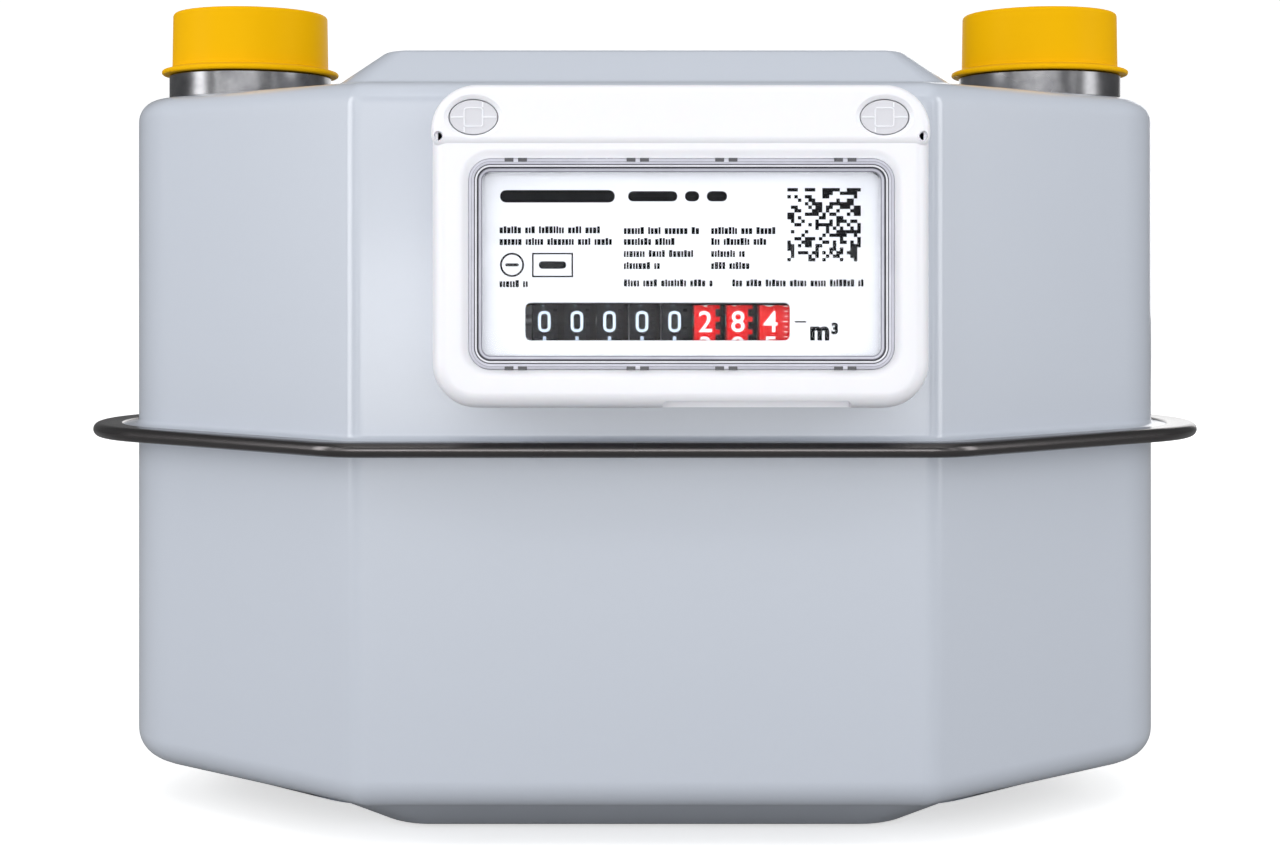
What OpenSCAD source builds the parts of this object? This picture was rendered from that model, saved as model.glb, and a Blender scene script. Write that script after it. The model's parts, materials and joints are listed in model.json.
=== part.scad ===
// Diaphragm gas meter: a pressed steel casing in two halves, a drum index on its front wall,
// two threaded spouts with push-on caps, and the measuring unit that turns the index.
// Every solid is drawn in the casing's frame (y = 0 is the casing's middle plane, z = 0 its base)
// and in_frame() then centres the whole meter over the origin.

/* [Casing] */
// Width over the round side walls
case_w = 318.6; // [300:0.2:400]
// Depth from front wall to back wall
case_d = 149; // [149:0.5:190]
// Half width of the straight front wall
front_half_w = 81; // [78:0.5:100]
// Half depth at which the slanted walls meet the sides
side_half_d = 17.4; // [16:0.2:22]
// Radius of the four corners beside the front and back walls
front_corner_r = 9.5; // [9.5:0.5:20]
// Radius of the corners at the sides
side_corner_r = 33; // [20:0.5:34]
// Height of the upper shoulder, where the spouts stand
shoulder_z = 216.5; // [212:0.5:260]
// Height of the lower shoulder
lower_shoulder_z = 11.5; // [6:0.5:12]
// Rounding between the walls and the upper shoulder
upper_edge_r = 7; // [4:0.5:7]
// Rounding between the walls and the lower shoulder
lower_edge_r = 9; // [4:0.5:9]
// Sheet thickness of both casing halves
sheet_t = 1; // [0.6:0.1:1.5]

/* [Raised panels] */
// Rise of the upper panel above the shoulder
top_rise = 11; // [4:0.5:14]
// Half width of the upper panel's flat
top_half_w = 75.6; // [40:0.2:78]
// Half depth of the upper panel's flat
top_half_d = 50; // [30:0.5:56]
// Half width of the base flat
base_half_w = 77; // [40:0.5:80]
// Half depth of the base flat
base_half_d = 45; // [30:0.5:56]
// Half width of the upper panel's foot
top_foot_w = 89; // [82:0.5:89]
// Half depth of the upper panel's foot
top_foot_d = 63; // [58:0.5:63]
// Corner radius of the upper panel's foot
top_foot_r = 9; // [9:1:20]
// Half width of the lower panel's foot
base_foot_w = 99; // [85:0.5:99]
// Half depth of the lower panel's foot
base_foot_d = 64; // [58:0.5:64]
// Corner radius of the lower panel's foot
base_foot_r = 28; // [28:1:36]

/* [Seam] */
// Height of the middle of the seam
seam_z = 114; // [110:0.5:118]
// Thickness of the seal ring between the flanges
gasket_t = 0.6; // [0.4:0.1:1.2]
// Thickness of the crimp band's strip
band_t = 0.8; // [0.5:0.1:1.2]
// How far the band stands out from the wall
band_out = 13.8; // [11:0.2:18]
// Where the band's lips end, measured out from the wall
lip_out = 4.8; // [3:0.2:7]
// Gap between a flange's edge and the inside of the band
seam_gap = 0.1; // [0.05:0.05:0.3]
// Fillet between the flanges and the walls
seam_fillet = 2; // [1:0.2:4]

/* [Spouts] */
// Distance between the two spouts
spout_pitch = 250; // [248:1:300]
// Radius over the thread, G 1 1/4
thread_r = 20.955; // [18:0.005:21.2]
// Radius of the gas way
bore_r = 16; // [12:0.5:17]
// Radius of the collar under the cap
collar_r = 25.15; // [23:0.05:25.4]
// Height of the collar
collar_h = 8; // [5:0.5:12]
// Length of the thread above the collar's register
thread_len = 15; // [10:0.5:25]
// Height of the register that centres the cap
register_h = 1; // [0.5:0.1:2]
// Radius of the spout's tail inside the casing
tail_r = 20; // [18:0.1:22]
// Length of the tail below the shoulder
tail_len = 11; // [6:0.5:16]

/* [Caps] */
// Radius of the cap's bore
cap_bore_r = 22.4; // [22:0.05:23]
// Radius of the cap at its foot
cap_r = 24.25; // [23.8:0.05:26]
// Radius of the cap's flange
cap_flange_r = 27.5; // [25:0.05:30]
// Thickness of the flange
cap_flange_t = 2.5; // [1.5:0.1:4]
// Thickness of the cap's top
cap_top_t = 1.4; // [1:0.1:2.5]
// Space between the thread's rim and the cap's top
cap_headroom = 2.1; // [2.1:0.1:5]
// Gap between cap and register
cap_gap = 0.1; // [0.05:0.01:0.2]

/* [Index box] */
// Left edge of the index cover
index_x = -56.5; // [-60:0.5:-50]
// Width of the index cover
index_w = 131.9; // [126:0.1:140]
// Lower edge of the index cover
index_z = 126.6; // [124:0.2:127.6]
// Height of the index cover
index_h = 85.5; // [82:0.1:90]
// Depth from the front wall to the cover's face
index_depth = 30.9; // [30.9:0.1:40]
// How far the cover's upper band stands proud of its face
brow_t = 0.6; // [0.3:0.1:1.5]
// Height of the upper band's lower edge above the cover's lower edge
brow_z = 69.8; // [68:0.1:72]
// Corner radius of the cover
index_r = 12; // [6:0.5:16]
// Wall thickness of the cover
index_wall = 2.5; // [1.5:0.1:3]
// Thickness of the base plate on the casing's front wall
index_base_t = 2.5; // [2:0.1:3]
// Gap between the base plate and the inside of the cover
index_gap = 0.2; // [0.1:0.05:0.5]

/* [Window and dial] */
// Left edge of the window, from the cover's left edge
window_x = 9.9; // [7:0.1:12]
// Width of the window
window_w = 112.4; // [100:0.1:114]
// Lower edge of the window, from the cover's lower edge
window_z = 10.3; // [8:0.1:12]
// Height of the window
window_h = 55.8; // [52:0.1:57]
// Corner radius of the window
window_r = 6; // [3:0.5:8]
// Thickness of the window
window_t = 1.5; // [1:0.1:2]
// How far the window stands proud of the cover's face
window_proud = 0.5; // [0:0.1:0.6]
// Width of the ledge that the window rests on
ledge_w = 1.6; // [1:0.1:3]
// Margin between the window's edge and the dial plate
dial_margin = 3.1; // [2:0.1:5]
// Thickness of the dial plate
dial_t = 1; // [0.5:0.1:1.5]
// Distance from the cover's face to the front of the dial plate
dial_depth = 4.4; // [4:0.1:6]
// Left edge of the counter slot
slot_x = -31.8; // [-33:0.1:-30.6]
// Width of the counter slot
slot_w = 70.3; // [68:0.1:74]
// Height of the counter slot
slot_h = 10; // [8:0.1:14]

/* [Counter] */
// Number of drums
drum_count = 8; // [8:1:8]
// Middle of the first drum
drum_x = -26.8; // [-28:0.1:-26]
// Distance from drum to drum
drum_pitch = 8.67; // [8.4:0.01:8.8]
// Width of a drum's rim
drum_w = 6.8; // [6:0.1:7]
// Radius of a drum
drum_r = 11; // [10:0.1:11.2]
// Height of the drum shaft
drum_z = 149.5; // [148:0.1:151]
// Gap between the drums and the back of the dial plate
dial_gap = 0.5; // [0.3:0.1:1]
// Radius of the drum shaft
drum_shaft_r = 1.5; // [1:0.1:2]
// Radius of the pinion shaft
pinion_shaft_r = 1; // [0.6:0.1:1.5]
// Radius of the index arbor
arbor_r = 1.2; // [0.8:0.1:1.5]
// Radial running clearance of every shaft in its hole
run_gap = 0.05; // [0.02:0.01:0.1]
// Width of the toothed ring on a drum's right side
ring_w = 0.8; // [0.5:0.05:0.8]
// Thickness of the counter frame's cheeks
cheek_t = 1.5; // [1:0.1:2]

/* [Drive] */
// Position of the crank and the drive shaft across the casing
crank_x = -30; // [-31:0.5:-29]
// Height of the drive shaft
drive_z = 163.5; // [163.5:0.5:164]
// Radius of the drive shaft
drive_r = 1.5; // [1:0.1:1.5]
// Radius of the crank spindle
spindle_r = 2; // [1.5:0.1:3]
// Radius of the crank pin's circle
crank_throw = 7; // [5:0.1:8]

/* [Measuring unit] */
// Width of the measuring body
body_w = 200; // [190:1:204]
// Lower edge of the measuring body
body_z = 8; // [8:0.5:10]
// Height of the measuring body
body_h = 128; // [124:1:128]
// Half depth of the measuring body
body_half_d = 34; // [32:0.5:36]
// Corner radius of the measuring body
body_r = 40; // [36:1:44]
// Half thickness of the wall between the chambers
divider_half_t = 1.5; // [1:0.1:2]
// Width of the rim that clamps a diaphragm
rim_w = 5; // [4:0.5:7]
// Thickness of a diaphragm
skin_t = 1; // [0.5:0.1:1.2]
// Depth of a pan cover
pan_depth = 18; // [17.5:0.1:20]
// Sheet thickness of a pan cover
pan_t = 1.5; // [1:0.1:2]
// Half of a diaphragm's stroke
half_stroke = 14.4; // [8:0.1:14.6]
// Position of the flag rods along the casing
flag_x = -92; // [-92:0.5:-91]
// Distance of each flag rod from the middle plane
flag_y = 9; // [7:0.5:10]
// Radius of a flag rod
flag_r = 2.5; // [1.5:0.1:3]
// Length of a flag arm
arm_len = 81; // [78:0.5:84]
// Length of a flag lever
lever_len = 38.6; // [36:0.2:40]

/* [Hidden] */
$fn = 64;
over = 1;

// Plan outline of the casing: straight walls joined by arcs.
slant_a = atan2(case_w / 2 - front_half_w, case_d / 2 - side_half_d);
side_centre = [case_w / 2, side_half_d]
    - side_corner_r * (ray(slant_a) + ray(0)) / (1 + cos(slant_a));
front_centre = [front_half_w, case_d / 2]
    - front_corner_r * (ray(slant_a) + ray(90)) / (1 + sin(slant_a));
side_steps = 8;
front_steps = 4;
edge_steps = 5;

// Heights that follow from the casing.
upper_flange_z = seam_z + gasket_t / 2;
lower_flange_z = seam_z - gasket_t / 2 - sheet_t;
flange_out = band_out - band_t - seam_gap;
band_h = gasket_t + 2 * sheet_t + 2 * band_t;
wall_y = case_d / 2;

// Spouts and caps.
collar_z = shoulder_z + collar_h;
thread_z = collar_z + register_h;
rim_z = thread_z + thread_len;
cap_inner_h = rim_z + cap_headroom - collar_z;
cap_h = cap_inner_h + cap_top_t;
cap_crown_r = 1.6;
cap_taper = 0.25;

// Index box, all measured towards the front.
face_y = -wall_y - index_depth;
front_y = face_y - brow_t;
base_front_y = -wall_y - index_base_t;
index_mid_x = index_x + index_w / 2;
index_mid_z = index_z + index_h / 2;
window_mid = [index_x + window_x + window_w / 2, index_z + window_z + window_h / 2];
window_front_y = face_y - window_proud;
window_back_y = window_front_y + window_t;
dial_front_y = face_y + dial_depth;
dial_back_y = dial_front_y + dial_t;
dial_w = window_w - 2 * dial_margin;
dial_short = 0.7;
dial_drop = 0.25;
dial_h = window_h - 2 * dial_margin - dial_short;
plug_w = 13;
plug_h = 9.3;
plug_inset = [11.3, 12.3];
plug_drop = 8.6;
plug_z = index_z + index_h - plug_drop;
plug_x = [index_x + plug_inset[0], index_x + index_w - plug_inset[1]];
plug_depth = 2.6;
well_r = 4;
well_wall = 1.5;
well_depth = 8.4;
well_floor_y = face_y + well_depth;
well_floor_t = 2;
screw_r = 1.5;
screw_head_r = 3.4;
screw_head_t = 2.4;
screw_len = 12;
screw_slot_len = 3.6;
screw_slot_w = 0.8;
screw_slot_depth = 1.44;
seal_hole_r = 1;
seal_hole_inset = 2;
seal_boss_r = 3.4;
seal_boss_h = 7;
seal_x = [index_x + seal_hole_inset, index_x + index_w - seal_hole_inset];
seal_drop = 13.6;
seal_hole_z = index_z + index_h - seal_drop;
tab_w = 4.6;
tab_t = 1.1;
tab_x = [-34, -1.9, 21.4, 52.7];
pocket_x = 4.7;
pocket_w = 49.8;
pocket_h = 2.1;
pocket_roof_t = index_wall - 0.5;
pocket_depth = 14;
rivet_r = 1.5;
rivet_head_r = 2.8;
rivet_head_t = 1;
rivet_inset = 12;
rivet_z = [index_z + 16, index_z + index_h / 2 + 12];

// Counter train: drums, their toothed rings and the transfer pinions below them.
drum_y = dial_back_y + dial_gap + drum_r;
drum_teeth = 20;
pinion_teeth = 8;
transfer_distance = 14.4;
transfer_a = 20;
transfer_module = 2 * transfer_distance / (drum_teeth + pinion_teeth);
pinion_y = drum_y + transfer_distance * sin(transfer_a);
pinion_z = drum_z - transfer_distance * cos(transfer_a);
carry_r = 9.2;
side_gap = 0.1;
arbor_distance = 14;
arbor_module = 2 * arbor_distance / (drum_teeth + pinion_teeth);
arbor_z = drum_z + arbor_distance;
last_x = drum_x + (drum_count - 1) * drum_pitch;
last_extra_w = 1.3;
index_gear_step = 0.7;
index_gear_x = last_x + drum_w / 2 + last_extra_w + index_gear_step;
index_gear_w = 2.5;
cheek_room = [8.3, 4];
cheek_x = [drum_x - drum_w / 2 - cheek_room[0], index_gear_x + index_gear_w + cheek_room[1]];
cheek_front = dial_back_y - base_front_y + 0.2;
cheek_cut = [14, 8];
shaft_past = 1;
frame_gap = 0.3;
frame_low_z = index_z + pocket_h + index_wall + frame_gap;
frame_rise = 13.5;
frame_top_z = arbor_z + frame_rise;
bar_w = 4;
bar_h = 2.5;
top_bar_y = [drum_y - 8, drum_y + 3];
low_bar_y = drum_y - 7;
low_bar_z = frame_low_z + 2;
magnet_r = 1.5;
magnet_len = 3;
magnet_offset = 7;

// Drive train from the crank to the index arbor.
crown_teeth = 40;
drive_teeth = 16;
crown_module = 1;
crown_r = crown_teeth * crown_module / 2;
drive_pinion_r = drive_teeth * crown_module / 2;
crown_pitch_z = drive_z - drive_pinion_r;
crown_face = 3;
tooth_foot = 0.95;
tooth_tip = 0.65;
half_root_step = 0.27;
half_tip_step = 0.11;
crown_half_tip = 0.13;
drive_pinion_w = 4;
drive_back_y = -13;
contrate_module = 0.45;
contrate_r = crown_teeth * contrate_module / 2;
contrate_face = 2.2;
contrate_x = crank_x - pinion_teeth * contrate_module / 2;
contrate_y = drum_y + contrate_r;
contrate_disc_t = 1.3;
index_pinion_w = 3.2;
index_pinion_y = contrate_y - 1.8;
gland_r = 5;
gland_flange_r = 7;
gland_in = 4;
gland_short = 0.3;

// Stack above the measuring body.
gallery_z = body_z + body_h;
gallery_t = 4;
seat_z = gallery_z + gallery_t;
seat_t = 4;
seat_r = 30;
port_at = 18;
port_r = 6;
cup_r = 6.5;
cup_roof_t = 2;
rotor_z = seat_z + seat_t + run_gap;
rotor_t = 5.8;
rotor_r = 26;
crown_gap = 1;
crown_z = rotor_z + rotor_t + crown_gap;
crown_t = 3.2;
bridge_drop = 5.5;
bridge_z = drive_z - bridge_drop;
bridge_t = 3;
bridge_half_d = 8;
bridge_leg_t = 4;
bridge_leg_x = seat_r + 2;
bridge_tongue_w = 10;
bridge_stop_t = 4;
bridge_stop_gap = 0.3;
arm_rise = 2.5;
arm_z = drive_z + arm_rise;
arm_t = 3;
arm_r = 10;
pin_r = 1.5;
pin_h = 3.5;
link_gap = 0.5;
lever_z = arm_z + arm_t + link_gap;
lever_t = 3;
link_z = arm_z + arm_t + pin_h + link_gap;
link_t = 2;
link_w = 4;
link_eye_r = 4;
duct_short = 1.5;

// Linkage: the front flag stands at mid stroke while the rear one is at the end of its stroke.
lever_a = 45;
fork_out = 12.5;
arm_a = asin((body_half_d - flag_y - fork_out) / arm_len);
flag_swing = asin(crank_throw / lever_len);
crank_pin = [crank_x, 0] + crank_throw * ray(-lever_a);

mid_z = body_z + body_h / 2;
chamber_w = body_w - 2 * rim_w;
chamber_h = body_h - 2 * rim_w;
chamber_r = body_r - rim_w;
plate_w = 130;
plate_h = 66;
plate_r = 30;
plate_t = 1.4;
plate_margin = 4;
skirt_step = 4;
flag_room = 1;
foot_x = 30;
foot_w = 16;
foot_d = 40;
foot_sink = 2;
gallery_r = 10;
arm_level = 69;
flag_arm_t = 3;
flat_arm_w = 4.4;
flag_foot_z = 56;
fork_z = 64;
fork_t = 3;
fork_gap = 2;
fork_x = -26;
fork_len = 24;
fork_slot_inset = 4;
hub_step = 0.3;
lever_hub_step = 2.5;
pin_drop = 4;
eye_wall = 2;
duct_x = 58;
duct_r = 14;
duct_wall = 1.5;
duct_lift = 3;
duct_run_z = seat_z + duct_r + duct_lift;

// The whole meter is centred front to back over the origin.
case_y = (-front_y - (wall_y + band_out)) / 2;

function ray(a) = [cos(a), sin(a)];

// One quarter of the casing's plan, moved outwards by out.
function quarter(out) = concat(
    [for (i = [0 : side_steps]) side_centre
        + (side_corner_r + out) * ray(slant_a * i / side_steps)],
    [for (i = [0 : front_steps]) front_centre
        + (front_corner_r + out) * ray(slant_a + (90 - slant_a) * i / front_steps)]);

function mirror_all(q) = let (n = len(q)) concat(q,
    [for (i = [n - 1 : -1 : 0]) [-q[i].x, q[i].y]],
    [for (i = [0 : n - 1]) [-q[i].x, -q[i].y]],
    [for (i = [n - 1 : -1 : 0]) [q[i].x, -q[i].y]]);

function round_quarter(w, h, r, steps) = [for (i = [0 : steps])
    [w / 2 - r, h / 2 - r] + r * ray(90 * i / steps)];

module round_rect(w, h, r, steps = 6) {
    polygon(mirror_all(round_quarter(w, h, r, steps)));
}

module ellipse(w, h) {
    polygon([for (a = [0 : 10 : 350]) [w / 2 * cos(a), h / 2 * sin(a)]]);
}

// Centres the finished meter over the origin.
module in_frame() {
    translate([0, case_y, 0]) children();
}

// Extrudes a front view outline from y_back to y_front.
module from_front(y_back, y_front) {
    translate([0, y_back, 0]) rotate([90, 0, 0]) linear_extrude(y_back - y_front) children();
}

module y_rod(x, z, y_back, y_front, r) {
    translate([x, y_back, z]) rotate([90, 0, 0]) cylinder(h = y_back - y_front, r = r);
}

module x_rod(x, y, z, len, r) {
    translate([x, y, z]) rotate([0, 90, 0]) cylinder(h = len, r = r);
}

module plan_slab(out, z, t) {
    translate([0, 0, z]) linear_extrude(t) polygon(mirror_all(quarter(out)));
}

// Closed solid through a stack of rings that all have the same number of points.
module loft(rings) {
    n = len(rings[0]);
    last = len(rings) - 1;
    polyhedron(
        points = [for (r = rings) each r],
        faces = concat(
            [[for (i = [0 : n - 1]) i]],
            [for (k = [0 : last - 1]) for (i = [0 : n - 1])
                [k * n + i, (k + 1) * n + i, (k + 1) * n + (i + 1) % n, k * n + (i + 1) % n]],
            [[for (i = [n - 1 : -1 : 0]) last * n + i]]));
}

function plan_ring(out, z) = [for (p = mirror_all(quarter(out))) [p.x, p.y, z]];

function panel_ring(half_w, half_d, r, z) =
    [for (p = mirror_all(round_quarter(2 * half_w, 2 * half_d, r, side_steps + front_steps + 1)))
        [p.x, p.y, z]];

// Rings from the top of the wall over the rounded shoulder to the raised panel's flat.
// foot and flat are each a half width, a half depth and a corner radius.
function roof_rings(skin, shoulder_h, edge_r, rise, foot, flat) = concat(
    [for (i = [0 : edge_steps]) let (a = 90 * i / edge_steps, turn_r = edge_r - skin)
        plan_ring(-skin - turn_r * (1 - cos(a)), shoulder_h - edge_r + turn_r * sin(a))],
    [panel_ring(foot[0] - skin, foot[1] - skin, foot[2], shoulder_h - skin),
        panel_ring(flat[0] - skin, flat[1] - skin, flat[2], shoulder_h + rise - skin)]);

// A casing half standing on its flange, which meets the wall in a fillet.
module casing_half(shoulder_h, edge_r, rise, foot, flat) {
    difference() {
        loft(concat(
            [plan_ring(flange_out, 0), plan_ring(flange_out, sheet_t)],
            [for (i = [0 : 3]) let (a = 30 * i)
                plan_ring(seam_fillet * (1 - sin(a)), sheet_t + seam_fillet * (1 - cos(a)))],
            roof_rings(0, shoulder_h, edge_r, rise, foot, flat)));
        loft(concat([plan_ring(-sheet_t, -over)],
            roof_rings(sheet_t, shoulder_h, edge_r, rise, foot, flat)));
    }
}

module rivet_places() {
    for (x = [index_x + rivet_inset, index_x + index_w - rivet_inset])
        for (z = rivet_z) translate([x, 0, z]) children();
}

module upper_casing() {
    color("lightsteelblue") in_frame() difference() {
        translate([0, 0, upper_flange_z]) casing_half(shoulder_z - upper_flange_z, upper_edge_r,
            top_rise, [top_foot_w, top_foot_d, top_foot_r], [top_half_w, top_half_d, top_foot_r / 2]);
        for (side = [-1, 1]) translate([side * spout_pitch / 2, 0, shoulder_z - 3 * sheet_t])
            cylinder(h = 6 * sheet_t, r = tail_r + run_gap);
        y_rod(crank_x, drive_z, -wall_y + 2 * sheet_t, -wall_y - over, gland_r + run_gap);
        rivet_places() y_rod(0, 0, -wall_y + 2 * sheet_t, -wall_y - over, rivet_r + run_gap);
    }
}

module lower_casing() {
    color("lightsteelblue") in_frame() translate([0, 0, lower_flange_z + sheet_t])
        mirror([0, 0, 1]) casing_half(lower_flange_z + sheet_t - lower_shoulder_z, lower_edge_r,
            lower_shoulder_z, [base_foot_w, base_foot_d, base_foot_r],
            [base_half_w, base_half_d, base_foot_r / 2]);
}

module casing_gasket() {
    color("black") in_frame() difference() {
        plan_slab(flange_out - seam_gap, seam_z - gasket_t / 2, gasket_t);
        plan_slab(-sheet_t, seam_z - gasket_t, 2 * gasket_t);
    }
}

module crimp_band() {
    color("silver") in_frame() difference() {
        plan_slab(band_out, seam_z - band_h / 2, band_h);
        plan_slab(band_out - band_t, seam_z - band_h / 2 + band_t, band_h - 2 * band_t);
        plan_slab(lip_out, seam_z - band_h, 2 * band_h);
    }
}

module spout(side) {
    color("gainsboro") in_frame() translate([side * spout_pitch / 2, 0, 0]) difference() {
        union() {
            translate([0, 0, shoulder_z - tail_len]) cylinder(h = tail_len, r = tail_r);
            translate([0, 0, shoulder_z]) cylinder(h = collar_h, r = collar_r);
            translate([0, 0, collar_z]) cylinder(h = register_h, r = cap_bore_r - cap_gap);
            translate([0, 0, thread_z]) cylinder(h = thread_len, r = thread_r);
        }
        translate([0, 0, shoulder_z - tail_len - over]) cylinder(h = rim_z, r = bore_r);
    }
}

module inlet_spout() {
    spout(-1);
}

module outlet_spout() {
    spout(1);
}

// Push-on cap: slightly tapered, with a rounded crown and a flange that rests on the collar.
module cap(side) {
    color("gold") in_frame() translate([side * spout_pitch / 2, 0, collar_z]) rotate_extrude()
        polygon(concat(
            [[0, cap_inner_h], [cap_bore_r, cap_inner_h], [cap_bore_r, 0], [cap_flange_r, 0],
                [cap_flange_r, cap_flange_t], [cap_r, cap_flange_t],
                [cap_r - cap_taper, cap_h - cap_crown_r]],
            [for (a = [15 : 15 : 90]) [cap_r - cap_taper - cap_crown_r, cap_h - cap_crown_r]
                + cap_crown_r * ray(a)],
            [[0, cap_h]]));
}

module inlet_cap() {
    cap(-1);
}

module outlet_cap() {
    cap(1);
}

module cover_outline(inset) {
    translate([index_mid_x, index_mid_z])
        round_rect(index_w - 2 * inset, index_h - 2 * inset, index_r - inset, 8);
}

module index_base() {
    color("white") in_frame() difference() {
        union() {
            from_front(-wall_y, base_front_y) cover_outline(index_wall + index_gap);
            for (x = plug_x) y_rod(x, plug_z, -wall_y, well_floor_y + well_floor_t, well_r);
        }
        for (x = plug_x) y_rod(x, plug_z, base_front_y, face_y, screw_r + run_gap);
        y_rod(crank_x, drive_z, 0, face_y, gland_r + run_gap);
        rivet_places() y_rod(0, 0, 0, face_y, rivet_r + run_gap);
    }
}

module base_rivets() {
    color("silver") in_frame() rivet_places() {
        y_rod(0, 0, -wall_y + sheet_t, base_front_y, rivet_r);
        y_rod(0, 0, base_front_y, base_front_y - rivet_head_t, rivet_head_r);
        y_rod(0, 0, -wall_y + sheet_t + rivet_head_t, -wall_y + sheet_t, rivet_head_r);
    }
}

module window_outline(inset) {
    translate(window_mid) round_rect(window_w - 2 * inset, window_h - 2 * inset, window_r - inset);
}

module tab_places() {
    for (x = tab_x) for (side = [-1, 1])
        translate([x, 0, window_mid.y + side * window_h / 2]) children();
}

module clip_tab(grow) {
    translate([-tab_w / 2 - grow, window_front_y - grow, -tab_t - grow])
        cube([tab_w + 2 * grow, window_t + grow, 2 * tab_t + 2 * grow]);
}

module index_cover() {
    color("white") in_frame() difference() {
        union() {
            difference() {
                union() {
                    from_front(-wall_y - index_gap, face_y) cover_outline(0);
                    intersection() {
                        from_front(face_y + over, front_y) cover_outline(0);
                        translate([index_x, front_y, index_z + brow_z])
                            cube([index_w, index_depth, index_h - brow_z]);
                    }
                }
                from_front(0, face_y + index_wall) cover_outline(index_wall);
            }
            for (x = seal_x) intersection() {
                y_rod(x, seal_hole_z, face_y + seal_boss_h, face_y, seal_boss_r);
                from_front(0, face_y) cover_outline(index_wall / 8);
            }
            for (x = plug_x) intersection() {
                from_front(well_floor_y + well_floor_t, face_y + over) translate([x, plug_z])
                    ellipse(plug_w + 2 * well_wall, plug_h + 2 * well_wall);
                from_front(0, face_y) cover_outline(index_wall / 2);
            }
            translate([pocket_x - index_wall, face_y, index_z])
                cube([pocket_w + 2 * index_wall, pocket_depth + index_wall, pocket_h + pocket_roof_t]);
        }
        from_front(window_back_y + index_gap, front_y - over) window_outline(-index_gap);
        from_front(0, front_y) window_outline(ledge_w);
        tab_places() clip_tab(index_gap);
        for (x = plug_x) {
            from_front(front_y + plug_depth + index_gap, front_y - over) translate([x, plug_z])
                ellipse(plug_w + index_gap, plug_h + index_gap);
            y_rod(x, plug_z, well_floor_y, front_y, well_r);
            y_rod(x, plug_z, 0, front_y, screw_r + 2 * run_gap);
        }
        for (x = seal_x)
            y_rod(x, seal_hole_z, face_y + seal_boss_h + over, front_y - over, seal_hole_r);
        translate([pocket_x, front_y - over, index_z - over])
            cube([pocket_w, pocket_depth + over, pocket_h + over]);
    }
}

module index_window() {
    color("lightcyan", 0.4) in_frame() union() {
        from_front(window_back_y, window_front_y) window_outline(0);
        difference() {
            from_front(dial_front_y - 1, window_back_y) window_outline(ledge_w + index_gap);
            from_front(dial_front_y, window_back_y + over) window_outline(2 * ledge_w);
            from_front(dial_front_y, window_back_y) window_outline(2 * ledge_w);
        }
        tab_places() clip_tab(0);
    }
}

module dial_plate() {
    color("whitesmoke") in_frame() difference() {
        from_front(dial_back_y, dial_front_y) translate(window_mid - [0, dial_drop])
            round_rect(dial_w, dial_h, window_r / 2);
        from_front(0, front_y) translate([slot_x + slot_w / 2, drum_z])
            round_rect(slot_w, slot_h, 1.5);
    }
}

module tamper_plug(x) {
    color("whitesmoke") in_frame() from_front(front_y + plug_depth, front_y)
        translate([x, plug_z]) ellipse(plug_w, plug_h);
}

module left_tamper_plug() {
    tamper_plug(plug_x[0]);
}

module right_tamper_plug() {
    tamper_plug(plug_x[1]);
}

module index_screws() {
    color("silver") in_frame() for (x = plug_x) {
        difference() {
            y_rod(x, plug_z, well_floor_y, well_floor_y - screw_head_t, screw_head_r);
            for (a = [0, 90]) translate([x, well_floor_y - screw_head_t, plug_z]) rotate([0, a, 0])
                cube([screw_slot_len, 2 * screw_slot_depth, screw_slot_w], center = true);
        }
        y_rod(x, plug_z, well_floor_y + screw_len, well_floor_y, screw_r);
    }
}

// Outline of a spur gear: one trapezoid per tooth, cut thin so that wheels run with backlash.
function gear_points(teeth, module_mm, phase) = let (
    pitch_r = teeth * module_mm / 2,
    root_r = pitch_r - tooth_foot * module_mm,
    tip_r = pitch_r + tooth_tip * module_mm,
    step = 360 / teeth)
    [for (i = [0 : teeth - 1]) each
        let (a = phase + i * step)
        [root_r * ray(a - half_root_step * step), tip_r * ray(a - half_tip_step * step),
            tip_r * ray(a + half_tip_step * step), root_r * ray(a + half_root_step * step)]];

module gear_x(x, y, z, w, teeth, module_mm, phase) {
    translate([x, y, z]) rotate([0, 90, 0]) linear_extrude(w)
        polygon(gear_points(teeth, module_mm, phase));
}

module gear_y(x, y, z, w, teeth, module_mm, phase) {
    translate([x, y, z]) rotate([-90, 0, 0]) linear_extrude(w)
        polygon(gear_points(teeth, module_mm, phase));
}

// Crown teeth standing up from z = 0 on a pitch circle, for a pinion lying across the face.
module crown_ring(teeth, module_mm, face, phase) {
    pitch_r = teeth * module_mm / 2;
    half_root = half_root_step * PI * module_mm;
    half_tip = crown_half_tip * PI * module_mm;
    foot = tooth_foot * module_mm;
    tip = tooth_tip * module_mm;
    for (i = [0 : teeth - 1]) rotate([0, 0, phase + i * 360 / teeth])
        translate([pitch_r - face / 2, 0, 0]) rotate([90, 0, 90]) linear_extrude(face)
            polygon([[-half_root, -foot], [half_root, -foot], [half_tip, tip], [-half_tip, tip]]);
}

module cheek(x) {
    translate([x, base_front_y, 0]) rotate([90, 0, 90]) linear_extrude(cheek_t)
        polygon([[0, frame_low_z], [cheek_front, frame_low_z], [cheek_front, frame_top_z - cheek_cut.y],
            [-cheek_cut.x, frame_top_z], [0, frame_top_z]]);
}

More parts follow.
